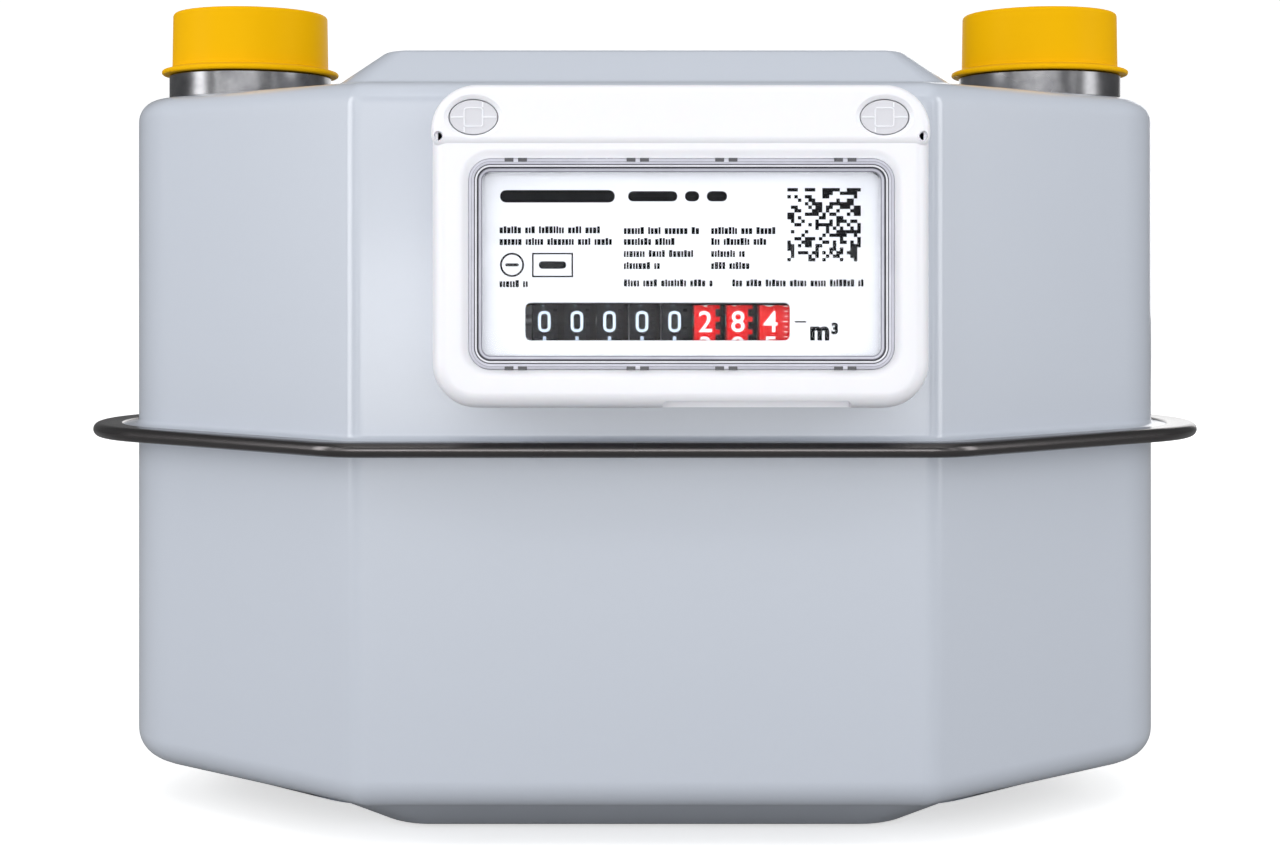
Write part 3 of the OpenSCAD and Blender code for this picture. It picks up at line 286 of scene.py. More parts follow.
def makeFinish(name, **changes):
    spec = {**plainFinish, **changes}
    material = bpy.data.materials.new(name)
    material.use_nodes = True
    nodes, links = material.node_tree.nodes, material.node_tree.links
    shader = nodes["Principled BSDF"]
    base = spec["base"]
    tone = spec["tone"] or tuple(c * 0.93 for c in base)
    worn = spec["worn"] or tuple(min(1.0, c * 1.12 + 0.02) for c in base)

    def placeGroup(tree, **values):
        node = nodes.new("ShaderNodeGroup")
        node.node_tree = tree
        for label, value in values.items():
            node.inputs[label.replace("_", " ")].default_value = value
        return node

    def mixColour(factor, first, second):
        mix = nodes.new("ShaderNodeMix")
        mix.data_type = "RGBA"
        links.new(factor, mix.inputs[0])
        for socket, colour in ((mix.inputs[6], first), (mix.inputs[7], second)):
            if isinstance(colour, tuple):
                socket.default_value = (*colour, 1.0)
            else:
                links.new(colour, socket)
        return mix.outputs[2]

    grain = placeGroup(surfaceGrain, Scale=spec["grain"], Patch_Scale=spec["patch"], Stretch=spec["stretch"])
    wear = placeGroup(edgeWear, Amount=spec["wear"])
    settled = placeGroup(dust, Amount=spec["dust"])
    colour = mixColour(grain.outputs["Patch"], base, tone)
    colour = mixColour(wear.outputs["Mask"], colour, worn)
    colour = mixColour(settled.outputs["Mask"], colour, spec["dusty"])
    rough = nodes.new("ShaderNodeMapRange")
    rough.inputs["To Min"].default_value = max(0.02, spec["rough"] - spec["roughSpread"])
    rough.inputs["To Max"].default_value = spec["rough"] + spec["roughSpread"]
    bump = nodes.new("ShaderNodeBump")
    bump.inputs["Strength"].default_value = spec["bump"]
    bump.inputs["Distance"].default_value = spec["depth"] * mm
    links.new(colour, shader.inputs["Base Color"])
    links.new(grain.outputs["Patch"], rough.inputs["Value"])
    links.new(rough.outputs["Result"], shader.inputs["Roughness"])
    links.new(grain.outputs["Height"], bump.inputs["Height"])
    links.new(bump.outputs["Normal"], shader.inputs["Normal"])
    shader.inputs["Metallic"].default_value = spec["metallic"]
    shader.inputs["Coat Weight"].default_value = spec["coat"]
    shader.inputs["Coat Roughness"].default_value = spec["coatRough"]
    shader.inputs["Specular IOR Level"].default_value = spec["specular"]
    shader.inputs["Sheen Weight"].default_value = spec["sheen"]
    shader.inputs["Subsurface Weight"].default_value = spec["subsurface"]
    shader.inputs["Subsurface Scale"].default_value = 1.5 * mm
    return material


def mixByRay(nodes, links, rayKind, others, seen, target):
    ray = nodes.new("ShaderNodeLightPath")
    mix = nodes.new("ShaderNodeMixShader")
    links.new(ray.outputs[rayKind], mix.inputs["Fac"])
    links.new(others, mix.inputs[1])
    links.new(seen, mix.inputs[2])
    links.new(mix.outputs["Shader"], target.inputs["Surface"])


def makeClearWindow():
    # clear moulded plastic that lets the light through to the dial
    material = bpy.data.materials.new("windowClear")
    material.use_nodes = True
    nodes, links = material.node_tree.nodes, material.node_tree.links
    shader = nodes["Principled BSDF"]
    shader.inputs["Base Color"].default_value = (0.97, 0.98, 1.0, 1.0)
    shader.inputs["Transmission Weight"].default_value = 1.0
    shader.inputs["IOR"].default_value = 1.12
    shader.inputs["Metallic"].default_value = 0.0
    grain = nodes.new("ShaderNodeGroup")
    grain.node_tree = surfaceGrain
    grain.inputs["Scale"].default_value = 120.0
    haze = nodes.new("ShaderNodeMapRange")
    haze.inputs["To Min"].default_value = 0.01
    haze.inputs["To Max"].default_value = 0.05
    links.new(grain.outputs["Patch"], haze.inputs["Value"])
    links.new(haze.outputs["Result"], shader.inputs["Roughness"])
    through = nodes.new("ShaderNodeBsdfTransparent")
    mixByRay(nodes, links, "Is Shadow Ray", shader.outputs["BSDF"], through.outputs["BSDF"],
             nodes["Material Output"])
    return material


finishes = {
    "casingPaint": makeFinish("casingPaint", base=(0.5, 0.535, 0.6), tone=(0.485, 0.52, 0.585),
                              worn=(0.6, 0.64, 0.69), rough=0.3, roughSpread=0.04, coat=0.5, coatRough=0.12,
                              grain=1400.0, bump=0.1, depth=0.03, wear=0.25, dust=0.05),
    "sealRubber": makeFinish("sealRubber", base=(0.02, 0.02, 0.022), rough=0.75, grain=1200.0, bump=0.4),
    "bandSteel": makeFinish("bandSteel", base=(0.125, 0.117, 0.118), tone=(0.09, 0.085, 0.086), metallic=1.0,
                            rough=0.26, roughSpread=0.06, grain=260.0, stretch=(1.0, 1.0, 14.0), bump=0.25,
                            wear=0.5, worn=(0.85, 0.84, 0.82)),
    "spoutSteel": makeFinish("spoutSteel", base=(0.1, 0.1, 0.11), tone=(0.05, 0.05, 0.06), metallic=1.0,
                             rough=0.27, roughSpread=0.07, grain=300.0, stretch=(1.0, 1.0, 22.0), bump=0.3,
                             wear=0.6, worn=(0.9, 0.9, 0.9)),
    "capPlastic": makeFinish("capPlastic", base=(0.8, 0.43, 0.0008), tone=(0.73, 0.385, 0.0008),
                             worn=(0.95, 0.5, 0.01), rough=0.45, roughSpread=0.05, specular=0.03,
                             grain=700.0, bump=0.12, depth=0.03, wear=0.3, dust=0.04),
    "indexPlastic": makeFinish("indexPlastic", base=(0.82, 0.82, 0.86), tone=(0.8, 0.8, 0.84),
                               worn=(0.93, 0.93, 0.95), rough=0.4, roughSpread=0.04, subsurface=0.05,
                               grain=2200.0, bump=0.12, depth=0.02, wear=0.15, dust=0.05),
    "plugPlastic": makeFinish("plugPlastic", base=(0.64, 0.64, 0.68), tone=(0.61, 0.61, 0.65), rough=0.5,
                              grain=2600.0, bump=0.2, depth=0.02),
    "dialPaint": makeFinish("dialPaint", base=(0.78, 0.79, 0.82), tone=(0.765, 0.775, 0.81), rough=0.55,
                            grain=3000.0, bump=0.05, depth=0.01, wear=0.0, dust=0.0),
    "inkBlack": makeFinish("inkBlack", base=(0.004, 0.004, 0.005), tone=(0.007, 0.007, 0.008), rough=0.7,
                           specular=0.02, grain=4000.0, bump=0.05, wear=0.0, dust=0.0),
    "inkGhost": makeFinish("inkGhost", base=(0.72, 0.73, 0.82), rough=0.55, grain=4000.0, wear=0.0, dust=0.0),
    "drumBlack": makeFinish("drumBlack", base=(0.004, 0.004, 0.006), tone=(0.007, 0.007, 0.01), rough=0.6,
                            grain=1800.0, bump=0.15, specular=0.06, wear=0.1, dust=0.02),
    "drumRed": makeFinish("drumRed", base=(0.68, 0.004, 0.005), tone=(0.6, 0.003, 0.004), rough=0.55,
                          grain=1800.0, bump=0.12, specular=0.08, wear=0.1, dust=0.02),
    "digitPale": makeFinish("digitPale", base=(0.68, 0.8, 0.95), rough=0.5, grain=3000.0, wear=0.0, dust=0.0),
    "digitWhite": makeFinish("digitWhite", base=(0.95, 0.95, 0.95), rough=0.5, grain=3000.0, wear=0.0,
                             dust=0.0),
    # the four rim finishes are painted highlight, painted light and painted shade on the clear window rim,
    # standing in for its reflections and refractions
    "rimPaintedHighlight": makeFinish("rimPaintedHighlight", base=(0.88, 0.88, 0.93), tone=(0.8, 0.8, 0.86), rough=0.2,
                             grain=500.0, patch=160.0, bump=0.05, dust=0.0),
    "rimPaintedLight": makeFinish("rimPaintedLight", base=(0.62, 0.62, 0.7), tone=(0.46, 0.46, 0.53), rough=0.25,
                            grain=500.0, patch=160.0, bump=0.05, dust=0.0),
    "rimPaintedShade": makeFinish("rimPaintedShade", base=(0.3, 0.3, 0.35), tone=(0.2, 0.2, 0.24), rough=0.3,
                             grain=500.0, patch=160.0, bump=0.05, dust=0.0),
    "rimPaintedDeepShade": makeFinish("rimPaintedDeepShade", base=(0.045, 0.045, 0.055), tone=(0.03, 0.03, 0.04), rough=0.3,
                            grain=500.0, bump=0.05, wear=0.0, dust=0.0),
    "zincSteel": makeFinish("zincSteel", base=(0.55, 0.56, 0.58), tone=(0.46, 0.47, 0.5), metallic=1.0,
                            rough=0.38, grain=500.0, patch=90.0, bump=0.2, wear=0.4),
    "innerPlastic": makeFinish("innerPlastic", base=(0.1, 0.1, 0.11), tone=(0.08, 0.08, 0.09), rough=0.5,
                               grain=1500.0, bump=0.2),
    "valvePlastic": makeFinish("valvePlastic", base=(0.16, 0.2, 0.17), tone=(0.12, 0.16, 0.13), rough=0.4,
                               grain=1300.0, bump=0.15),
    "brassParts": makeFinish("brassParts", base=(0.72, 0.5, 0.2), tone=(0.6, 0.4, 0.15), metallic=1.0,
                             rough=0.3, grain=420.0, stretch=(1.0, 1.0, 10.0), bump=0.2, wear=0.4),
    "magnetFerrite": makeFinish("magnetFerrite", base=(0.05, 0.05, 0.055), metallic=0.4, rough=0.6,
                                grain=2400.0, bump=0.35),
    "castAluminium": makeFinish("castAluminium", base=(0.6, 0.61, 0.62), tone=(0.5, 0.51, 0.52), metallic=1.0,
                                rough=0.5, roughSpread=0.1, grain=420.0, bump=0.5, depth=0.06, wear=0.4),
    "diaphragmCloth": makeFinish("diaphragmCloth", base=(0.07, 0.05, 0.035), tone=(0.05, 0.036, 0.026),
                                 rough=0.8, sheen=0.3, grain=2600.0, bump=0.6, depth=0.05, wear=0.0),
    "windowClear": makeClearWindow(),
}
slotFinish = {
    "casing_paint": "casingPaint", "seal_rubber": "sealRubber", "band_steel": "bandSteel",
    "spout_steel": "spoutSteel", "cap_plastic": "capPlastic", "index_plastic": "indexPlastic",
    "window_clear": "windowClear", "dial_paint": "dialPaint", "plug_plastic": "plugPlastic",
    "drum_black": "drumBlack", "drum_red": "drumRed", "zinc_steel": "zincSteel",
    "inner_plastic": "innerPlastic", "valve_plastic": "valvePlastic", "brass_parts": "brassParts",
    "magnet": "magnetFerrite", "cast_aluminium": "castAluminium", "diaphragm_cloth": "diaphragmCloth",
}
for part in frame["record"]["subparts"]:
    node = frame["nodes"][part["node"]]
    node.data.materials.clear()
    node.data.materials.append(finishes[slotFinish[part["material_slot"]]])
print("stage: finishes made")


# pressed steel casing

casing = {  # mm
    "frontHalfWidth": 81.0, "sideHalfDepth": 17.4, "frontRadius": 9.5, "sideRadius": 33.0,
    "sheet": 1.0, "flangeOut": 12.9, "seamFillet": 2.0, "halfDepth": 74.5,
    "sideSteps": 16, "frontSteps": 10, "edgeSteps": 9,
}
casingHalves = {  # mm; foot and flat of the raised panel: half width, half depth, corner radius
    "upper_casing": {"up": 1, "shoulder": 11.0, "edge": 7.0,
                     "foot": (89.0, 63.0, 9.0), "flat": (75.6, 50.0, 6.0)},
    "lower_casing": {"up": -1, "shoulder": 11.5, "edge": 9.0,
                     "foot": (99.0, 64.0, 28.0), "flat": (77.0, 45.0, 14.0)},
}
caseHalfWidth = (bandHigh.x - bandLow.x) / 2 / mm - (casing["flangeOut"] + 0.9)


def planQuarter(out):
    slant = math.atan2(caseHalfWidth - casing["frontHalfWidth"],
                       casing["halfDepth"] - casing["sideHalfDepth"])
    c, s = math.cos(slant), math.sin(slant)
    sideMid = (caseHalfWidth - casing["sideRadius"],
               casing["sideHalfDepth"] - casing["sideRadius"] * s / (1 + c))
    frontMid = (casing["frontHalfWidth"] - casing["frontRadius"] * c / (1 + s),
                casing["halfDepth"] - casing["frontRadius"])
    turn = math.degrees(slant)
    side, front = casing["sideRadius"] + out, casing["frontRadius"] + out
    points = [(sideMid[0] + side * u, sideMid[1] + side * v)
              for u, v in arcPoints(casing["sideSteps"], 0, turn)]
    points += [(frontMid[0] + front * u, frontMid[1] + front * v)
               for u, v in arcPoints(casing["frontSteps"], turn, 90)]
    return points


def mirrored(quarter):
    left = [(-x, y) for x, y in reversed(quarter)]
    return quarter + left + [(-x, -y) for x, y in quarter] + [(x, -y) for x, y in reversed(quarter)]


def level(outline, z):
    return [Vector((x * mm, midY + y * mm, z)) for x, y in outline]


def planRing(out, z):
    return level(mirrored(planQuarter(out)), z)


def panelRing(halfW, halfD, radius, z):
    steps = casing["sideSteps"] + casing["frontSteps"] + 1
    return level(roundRect(halfW, halfD, radius, steps), z)


def panelRise(t, soft):
    # 0 outside the foot, 1 on the flat, straight between, with soft bends at both
    def bend(x):
        if x <= -soft:
            return 0.0
        if x >= soft:
            return x
        return (x + soft) ** 2 / (4 * soft)
    return bend(t) - bend(t - 1)


def roofRings(spec, skin, shoulderZ, rise, up):
    rings = []
    edge = spec["edge"] - skin
    for c, s in arcPoints(casing["edgeSteps"], 0, 90):
        rings.append(planRing(-skin - edge * (1 - c), shoulderZ + up * (edge * s - spec["edge"]) * mm))
    foot, flat = spec["foot"], spec["flat"]
    soft = 0.1
    bendSteps = [-soft + 2 * soft * i / 5 for i in range(6)]
    for t in bendSteps + [0.5] + [1 + step for step in bendSteps]:
        half = [foot[k] + (flat[k] - foot[k]) * t - skin for k in (0, 1)]
        radius = foot[2] + (flat[2] - foot[2]) * min(max(t, 0), 1)
        z = shoulderZ + up * (rise * panelRise(t, soft) - skin * mm)
        rings.append(panelRing(half[0], half[1], radius, z))
    return rings


def makeCasingHalf(name, spec):
    low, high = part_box(name)
    up = spec["up"]
    seat, crown = (low.z, high.z) if up > 0 else (high.z, low.z)
    rise = spec["shoulder"] * mm
    shoulderZ = crown - up * rise
    sheet, fillet = casing["sheet"], casing["seamFillet"]
    lip = [planRing(casing["flangeOut"], seat), planRing(casing["flangeOut"], seat + up * sheet * mm)]
    for c, s in arcPoints(6, 0, 90):
        lip.append(planRing(fillet * (1 - s), seat + up * (sheet + fillet * (1 - c)) * mm))
    lip.append(planRing(0, (seat + shoulderZ) / 2))
    inner = [planRing(-sheet, seat), planRing(-sheet, (seat + shoulderZ) / 2)]
    outer = lip + roofRings(spec, 0, shoulderZ, rise, up)
    inner += roofRings(spec, sheet, shoulderZ, rise, up)
    return makePiece(name + "_shell", *stackRings(inner[::-1] + outer))


spout = {  # mm
    "tail": 20.0, "hole": 20.05, "collar": 25.15, "register": 22.3, "thread": 20.955, "bore": 16.0,
    "collarHeight": 8.0, "registerHeight": 1.0, "tailLength": 11.0, "pitch": 2.309, "depth": 1.35,
    "ease": 0.5, "steps": 120, "stations": 64,
}
spoutPlaces = {}
for side in ("inlet", "outlet"):
    low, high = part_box(side + "_spout")
    spoutPlaces[side] = Vector(((low.x + high.x) / 2, (low.y + high.y) / 2, low.z + spout["tailLength"] * mm))

upperShell = makeCasingHalf("upper_casing", casingHalves["upper_casing"])
drills = []
for side, place in spoutPlaces.items():
    reach = [(spout["hole"] * mm, -4 * mm), (spout["hole"] * mm, 4 * mm)]
    drills.append(makePiece(side + "_drill", *stackRings(turned(reach, place))))
cutAway(upperShell, *drills)
dress(upperShell, root, "casingPaint", ["upper_casing"])
lowerShell = makeCasingHalf("lower_casing", casingHalves["lower_casing"])
dress(lowerShell, root, "casingPaint", ["lower_casing"])
print("stage: casing pressed")


# rolled band round the seam

band = {"out": 13.8, "lip": 4.8, "thickness": 0.8, "lipCurl": 0.35, "tilt": 0.25}  # mm


def makeBand():
    middle, half = (bandLow.z + bandHigh.z) / 2, (bandHigh.z - bandLow.z) / 2 / mm
    centre = band["out"] - half
    outer, inner = [], []
    for c, s in arcPoints(14, 90, -90):
        outer.append((centre + half * c, half * s))
        inner.append((centre + (half - band["thickness"]) * c, (half - band["thickness"]) * s))
    curl = band["lipCurl"]
    lipTop = [(band["lip"], half - band["tilt"] - curl), (band["lip"] + curl, half - band["tilt"])]
    lipBase = [(band["lip"] + curl, -half + band["tilt"]), (band["lip"], -half + band["tilt"] + curl)]
    back = [(band["lip"], -half + band["thickness"] + band["tilt"])]
    front = [(band["lip"], half - band["thickness"] - band["tilt"])]
    profile = lipTop + outer + lipBase + back + inner[::-1] + front
    rings = [planRing(out, middle + z * mm) for out, z in profile]
    return makePiece("seam_band", *stackRings(rings, loop=True))


dress(makeBand(), root, "bandSteel", ["crimp_band"])
print("stage: band rolled")


# spouts and caps

def makeSpout(side, place):
    low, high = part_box(side + "_spout")
    collarTop = spout["collarHeight"]
    threadStart = collarTop + spout["registerHeight"]
    threadEnd = (high.z - place.z) / mm
    ease, steps, stations = spout["ease"], spout["steps"], spout["stations"]
    collar, tailEnd = spout["collar"], -spout["tailLength"]
    profile = [(spout["bore"], tailEnd), (spout["tail"], tailEnd), (spout["tail"], 0), (collar - ease, 0),
               (collar, ease), (collar, collarTop - ease), (collar - ease, collarTop),
               (spout["register"], collarTop), (spout["register"], threadStart)]
    rings = turned(inMetres(profile), place, steps=steps)
    for k in range(stations + 1):
        height = threadStart + (threadEnd - threadStart) * k / stations
        fade = min(1.0, (height - threadStart) / 1.2, (threadEnd - height) / 1.6)
        ring = []
        for i, (c, s) in enumerate(arcPoints(steps, 0, 360)[:-1]):
            phase = (height / spout["pitch"] - i / steps) % 1.0
            cut = spout["depth"] * min(1.0, max(0.0, 1.35 * (1 - abs(2 * phase - 1)) - 0.15))
            radius = (spout["thread"] - cut * fade - 0.5 * (1 - fade)) * mm
            ring.append(place + Vector((radius * c, radius * s, height * mm)))
        rings.append(ring)
    mouth = [(spout["bore"] + 0.8, threadEnd), (spout["bore"], threadEnd - 0.8)]
    rings += turned(inMetres(mouth), place, steps=steps)
    return makePiece(side + "_spout_turned", *stackRings(rings, loop=True))


cap = {  # mm
    "flange": 27.5, "flangeHeight": 2.5, "wall": 24.25, "bore": 22.4, "crown": 1.2, "taper": 0.25,
    "topThickness": 1.4, "lip": 0.8, "root": 0.45,
}


def makeCap(side):
    low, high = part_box(side + "_cap")
    seat = Vector(((low.x + high.x) / 2, (low.y + high.y) / 2, low.z))
    height = (high.z - low.z) / mm
    top = height - cap["crown"]
    profile = [(0.02, height - cap["topThickness"]), (cap["bore"], height - cap["topThickness"]),
               (cap["bore"], 0.15)]
    profile += [(cap["flange"] - cap["lip"] * (1 - c), cap["lip"] * (1 + s))
                for c, s in arcPoints(6, -90, 75)]
    profile += [(cap["wall"] + cap["root"] * (1 - s), cap["flangeHeight"] + cap["root"] * (1 - c) - 0.3)
                for c, s in arcPoints(5, 0, 90)]
    crownMid = cap["wall"] - cap["taper"] - cap["crown"]
    profile += [(crownMid + cap["crown"] * c, top + cap["crown"] * s) for c, s in arcPoints(8, 0, 90)]
    profile += [(cap["bore"] - 4.5, height), (cap["bore"] - 5.3, height - 0.35), (0.02, height - 0.35)]
    rings = turned(inMetres(profile), seat)
    return makePiece(side + "_cap_moulded", *stackRings(rings))


for side, place in spoutPlaces.items():
    dress(makeSpout(side, place), root, "spoutSteel", [side + "_spout"])
    dress(makeCap(side), side + "_cap", "capPlastic", [side + "_cap"])
print("stage: spouts and caps turned")


# index box

coverLow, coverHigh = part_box("index_cover")
windowLow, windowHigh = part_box("index_window")
dialLow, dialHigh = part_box("dial_plate")
cover = {  # mm
    "corner": 12.0, "wall": 2.5, "brow": 69.8, "browProud": 0.6, "browTop": 2.6, "sideRound": 5.5,
    "browCorner": 3.4, "browRoll": 1.2, "windowRadius": 6.0, "surround": 2.6, "surroundDrop": 0.55,
    "ledge": 1.6, "windowThickness": 1.5, "pocketX": 4.7, "pocketWidth": 49.8, "pocketHeight": 2.1,
    "pocketDepth": 7.0, "sealInset": 2.0, "sealDrop": 13.6,
}
coverMidX, coverMidZ = (coverLow.x + coverHigh.x) / 2, (coverLow.z + coverHigh.z) / 2
coverHalfW, coverHalfH = (coverHigh.x - coverLow.x) / 2 / mm, (coverHigh.z - coverLow.z) / 2 / mm
browY = coverLow.y
faceY = browY + cover["browProud"] * mm
wallY = coverHigh.y
paneFrontY = faceY - 0.5 * mm
paneBackY = paneFrontY + cover["windowThickness"] * mm
windowMidX, windowMidZ = (windowLow.x + windowHigh.x) / 2, (windowLow.z + windowHigh.z) / 2
windowHalfW = (windowHigh.x - windowLow.x) / 2 / mm
windowHalfH = (windowHigh.z - windowLow.z) / 2 / mm - 1.1  # the clip tabs reach past the pane


def coverRing(inset, y):
    outline = roundRect(coverHalfW - inset, coverHalfH - inset, cover["corner"] - min(inset, 8.0), 14)
    return facing(inMetres(outline), coverMidX, coverMidZ, y)


def windowRing(inset, y, steps=14):
    radius = max(cover["windowRadius"] - inset, 0.6)
    outline = roundRect(windowHalfW - inset, windowHalfH - inset, radius, steps)
    return facing(inMetres(outline), windowMidX, windowMidZ, y)


def makeCoverShell():
    deep, drop, surround = cover["sideRound"], cover["surroundDrop"] * mm, cover["surround"]
    outer = [coverRing(0, wallY), coverRing(0, faceY + deep * mm)]
    for c, s in arcPoints(10, 0, 90)[1:]:
        outer.append(coverRing(deep * (1 - c) * 0.8, faceY + deep * (1 - s) * mm))
    for i in range(7):
        t = i / 6
        outer.append(windowRing(-surround * (1 - t), faceY + drop * eased(t)))
    outer.append(windowRing(0, paneBackY + 0.2 * mm))
    inner = [windowRing(cover["ledge"], paneBackY + 0.2 * mm),
             windowRing(cover["ledge"], faceY + cover["wall"] * mm),
             coverRing(cover["wall"] * 1.6, faceY + cover["wall"] * mm),
             coverRing(cover["wall"], faceY + (deep + cover["wall"]) * mm), coverRing(cover["wall"], wallY)]
    return makePiece("index_cover_shell", *stackRings(outer + inner, loop=True))


def browOutline(inset):
    # flat-bottomed top part of the cover's outline, rounded less at its lower corners
    lowZ = -coverHalfH + cover["brow"] - 0.9 + inset * cover["browRoll"]
    side, top = coverHalfW - inset, coverHalfH - inset
    big, small = cover["corner"] - inset, max(cover["browCorner"] - inset, 0.3)
    right = [(side - small + small * c, lowZ + small + small * s) for c, s in arcPoints(8, -90, 0)]
    right += [(side - big + big * c, top - big + big * s) for c, s in arcPoints(14, 0, 90)]
    return right + [(-u, v) for u, v in reversed(right)]


def browRing(inset, y):
    return facing(inMetres(browOutline(inset)), coverMidX, coverMidZ, y)


def makeBrow():
    turn = cover["browTop"]
    rings = [browRing(0.9, faceY + 5.4 * mm), browRing(-0.04, faceY + 5 * mm),
             browRing(-0.04, browY + turn * mm)]
    for c, s in arcPoints(9, 0, 90)[1:]:
        rings.append(browRing(turn * (1 - c), browY + turn * (1 - s) * mm))
    return makePiece("index_cover_brow", *stackRings(rings))


plug = {  # mm
    "halfW": 6.4, "halfH": 4.6, "sink": 0.75, "gap": 0.14, "dish": 1.3, "line": 0.36, "lift": 0.22,
    "square": 2.6,
}
plugPlaces = {}
for side in ("left", "right"):
    low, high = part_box(side + "_tamper_plug")
    plugPlaces[side] = ((low.x + high.x) / 2, (low.z + high.z) / 2)
sealZ = coverHigh.z - cover["sealDrop"] * mm
sealX = [coverLow.x + cover["sealInset"] * mm, coverHigh.x - cover["sealInset"] * mm]


def ovalRing(grow, x, z, y):
    outline = ovalOutline((plug["halfW"] + grow) * mm, (plug["halfH"] + grow) * mm)
    return facing(outline, x, z, y)


def coverCutters(tag):
    cutters = []
    for side, (x, z) in plugPlaces.items():
        steps = [(plug["dish"] + 0.6, -0.5), (plug["dish"], 0.02), (plug["dish"] * 0.45, 0.3),
                 (plug["gap"], 0.75), (plug["gap"], 3.2)]
        rings = [ovalRing(grow, x, z, browY + depth * mm) for grow, depth in steps]
        cutters.append(makePiece(f"{tag}_{side}_well", *stackRings(rings)))
    for k, x in enumerate(sealX):
        hole = [(1.6, -1.0), (1.25, 0.5), (1.0, 1.0), (0.95, 1.6)]
        rings = []
        for radius, depth in hole:
            rings.append(facing(ovalOutline(radius * mm, radius * mm, 40), x, sealZ, browY + depth * mm))
        cutters.append(makePiece(f"{tag}_seal_{k}", *stackRings(rings)))
    return cutters


def makePocketCutter():
    left = cover["pocketX"] * mm
    right = left + cover["pocketWidth"] * mm
    corner = 1.2 * mm
    top = coverLow.z + cover["pocketHeight"] * mm
    outline = [(left, coverLow.z - 2 * mm), (right, coverLow.z - 2 * mm)]
    outline += [(right - corner + corner * c, top - corner + corner * s) for c, s in arcPoints(6, 0, 90)]
    outline += [(left + corner + corner * c, top - corner + corner * s) for c, s in arcPoints(6, 90, 180)]
    rings = [[Vector((x, y, z)) for x, z in outline]
             for y in (browY - 1 * mm, faceY + cover["pocketDepth"] * mm)]
    return makePiece("pocket_cutter", *stackRings(rings))


coverShell = cutAway(makeCoverShell(), *coverCutters("shell"), makePocketCutter())
dress(coverShell, root, "indexPlastic", ["index_cover"])
coverBrow = cutAway(makeBrow(), *coverCutters("brow"))
dress(coverBrow, root, "indexPlastic")


def makePlug(side, x, z):
    faceDepth = browY + plug["sink"] * mm
    rings = [ovalRing(grow, x, z, faceDepth + depth * mm)
             for grow, depth in ((-0.3, 2.2), (0, 2.0), (0, 0.35), (-0.1, 0.12), (-0.35, 0))]
    body = stackRings(rings)
    half, line = plug["square"], plug["line"]
    ringPair = []
    for inset, lift in ((0, 0.02), (0.05, -plug["lift"]), (line - 0.05, -plug["lift"]), (line, 0.02)):
        outline = roundRect(half - inset, half - inset, max(0.8 - inset, 0.2), 6)
        ringPair.append(facing(inMetres(outline), x, z, faceDepth + lift * mm))
    parts = [stackRings(ringPair, loop=True)]
    reachX, reachZ = plug["halfW"] - 0.4, plug["halfH"] - 0.25
    bars = [(half, reachX, -line / 2, line / 2), (-reachX, -half, -line / 2, line / 2),
            (half - line, half, half, reachZ * 0.9), (-half, -half + line, -reachZ * 0.9, -half)]
    for x0, x1, z0, z1 in bars:
        parts.append(slab(x + x0 * mm, x + x1 * mm, z + z0 * mm, z + z1 * mm,
                          faceDepth - plug["lift"] * mm, faceDepth + 0.05 * mm, 0.04 * mm))
    return makePiece(side + "_plug_moulded", *body), makePiece(side + "_plug_ribs", *joinParts(parts))


for side, (x, z) in plugPlaces.items():
    moulded, ribs = makePlug(side, x, z)
    dress(moulded, root, "plugPlastic", [side + "_tamper_plug"])
    # the ribs take the brighter cover plastic: a painted highlight on the plug's raised lines
    dress(ribs, root, "indexPlastic")
print("stage: index cover moulded")


# window

# ridged rim, outside to inside: inset, depth below the pane's front, and the tint of the strip after it; the
# tints are painted highlights and painted shade for the clear rim's reflections and refractions
rimSteps = [
    (0.05, 0.5, "rimPaintedShade"), (0.28, 0.15, "rimPaintedLight"), (0.85, 0.0, "rimPaintedShade"),
    (1.0, 0.0, "rimPaintedLight"), (1.6, 0.1, "rimPaintedDeepShade"), (1.82, 0.3, "rimPaintedHighlight"),
    (2.0, 0.1, "rimPaintedHighlight"), (2.3, 0.2, "rimPaintedDeepShade"), (2.7, 0.45, "rimPaintedShade"),
    (2.92, 0.3, "rimPaintedLight"), (3.42, 0.45, "rimPaintedShade"), (3.7, 0.75, "rimPaintedShade"),
]
rimPaintedShades = ["rimPaintedHighlight", "rimPaintedLight", "rimPaintedShade", "rimPaintedDeepShade"]


def makeRim():
    rings = [windowRing(inset, paneFrontY + depth * mm) for inset, depth, tint in rimSteps]
    backDepth = cover["windowThickness"] - 0.05
    rings += [windowRing(rimSteps[-1][0], paneFrontY + backDepth * mm),
              windowRing(rimSteps[0][0], paneFrontY + backDepth * mm)]
    points, faces = stackRings(rings, loop=True)
    rim = makePiece("window_rim", points, faces)
    for tint in rimPaintedShades:
        rim.data.materials.append(finishes[tint])
    # each face takes the painted highlight or painted shade of the strip it lies in
    for face in rim.data.polygons:
        middle = face.center
        acrossX, acrossZ = abs(middle.x - windowMidX) / mm, abs(middle.z - windowMidZ) / mm
        inset = min(windowHalfW - acrossX, windowHalfH - acrossZ)
        cornerX = acrossX - (windowHalfW - cover["windowRadius"])
        cornerZ = acrossZ - (windowHalfH - cover["windowRadius"])
        if cornerX > 0 and cornerZ > 0:
            inset = cover["windowRadius"] - math.hypot(cornerX, cornerZ)
        tint = rimSteps[0][2]
        for start, depth, name in rimSteps:
            if inset >= start - 0.02:
                tint = name
        face.material_index = rimPaintedShades.index(tint)
    return rim


def makePane():
    front, back = paneFrontY + 0.45 * mm, paneBackY - 0.1 * mm
    inset = rimSteps[-1][0] + 0.02
    rings = [windowRing(inset, back), windowRing(inset, front + 0.15 * mm), windowRing(inset + 0.25, front)]
    return makePiece("window_pane", *stackRings(rings))


clips = {"places": (-34.0, -1.9, 21.4, 52.7), "halfWidth": 2.95, "height": 1.05, "nib": 0.6}  # mm


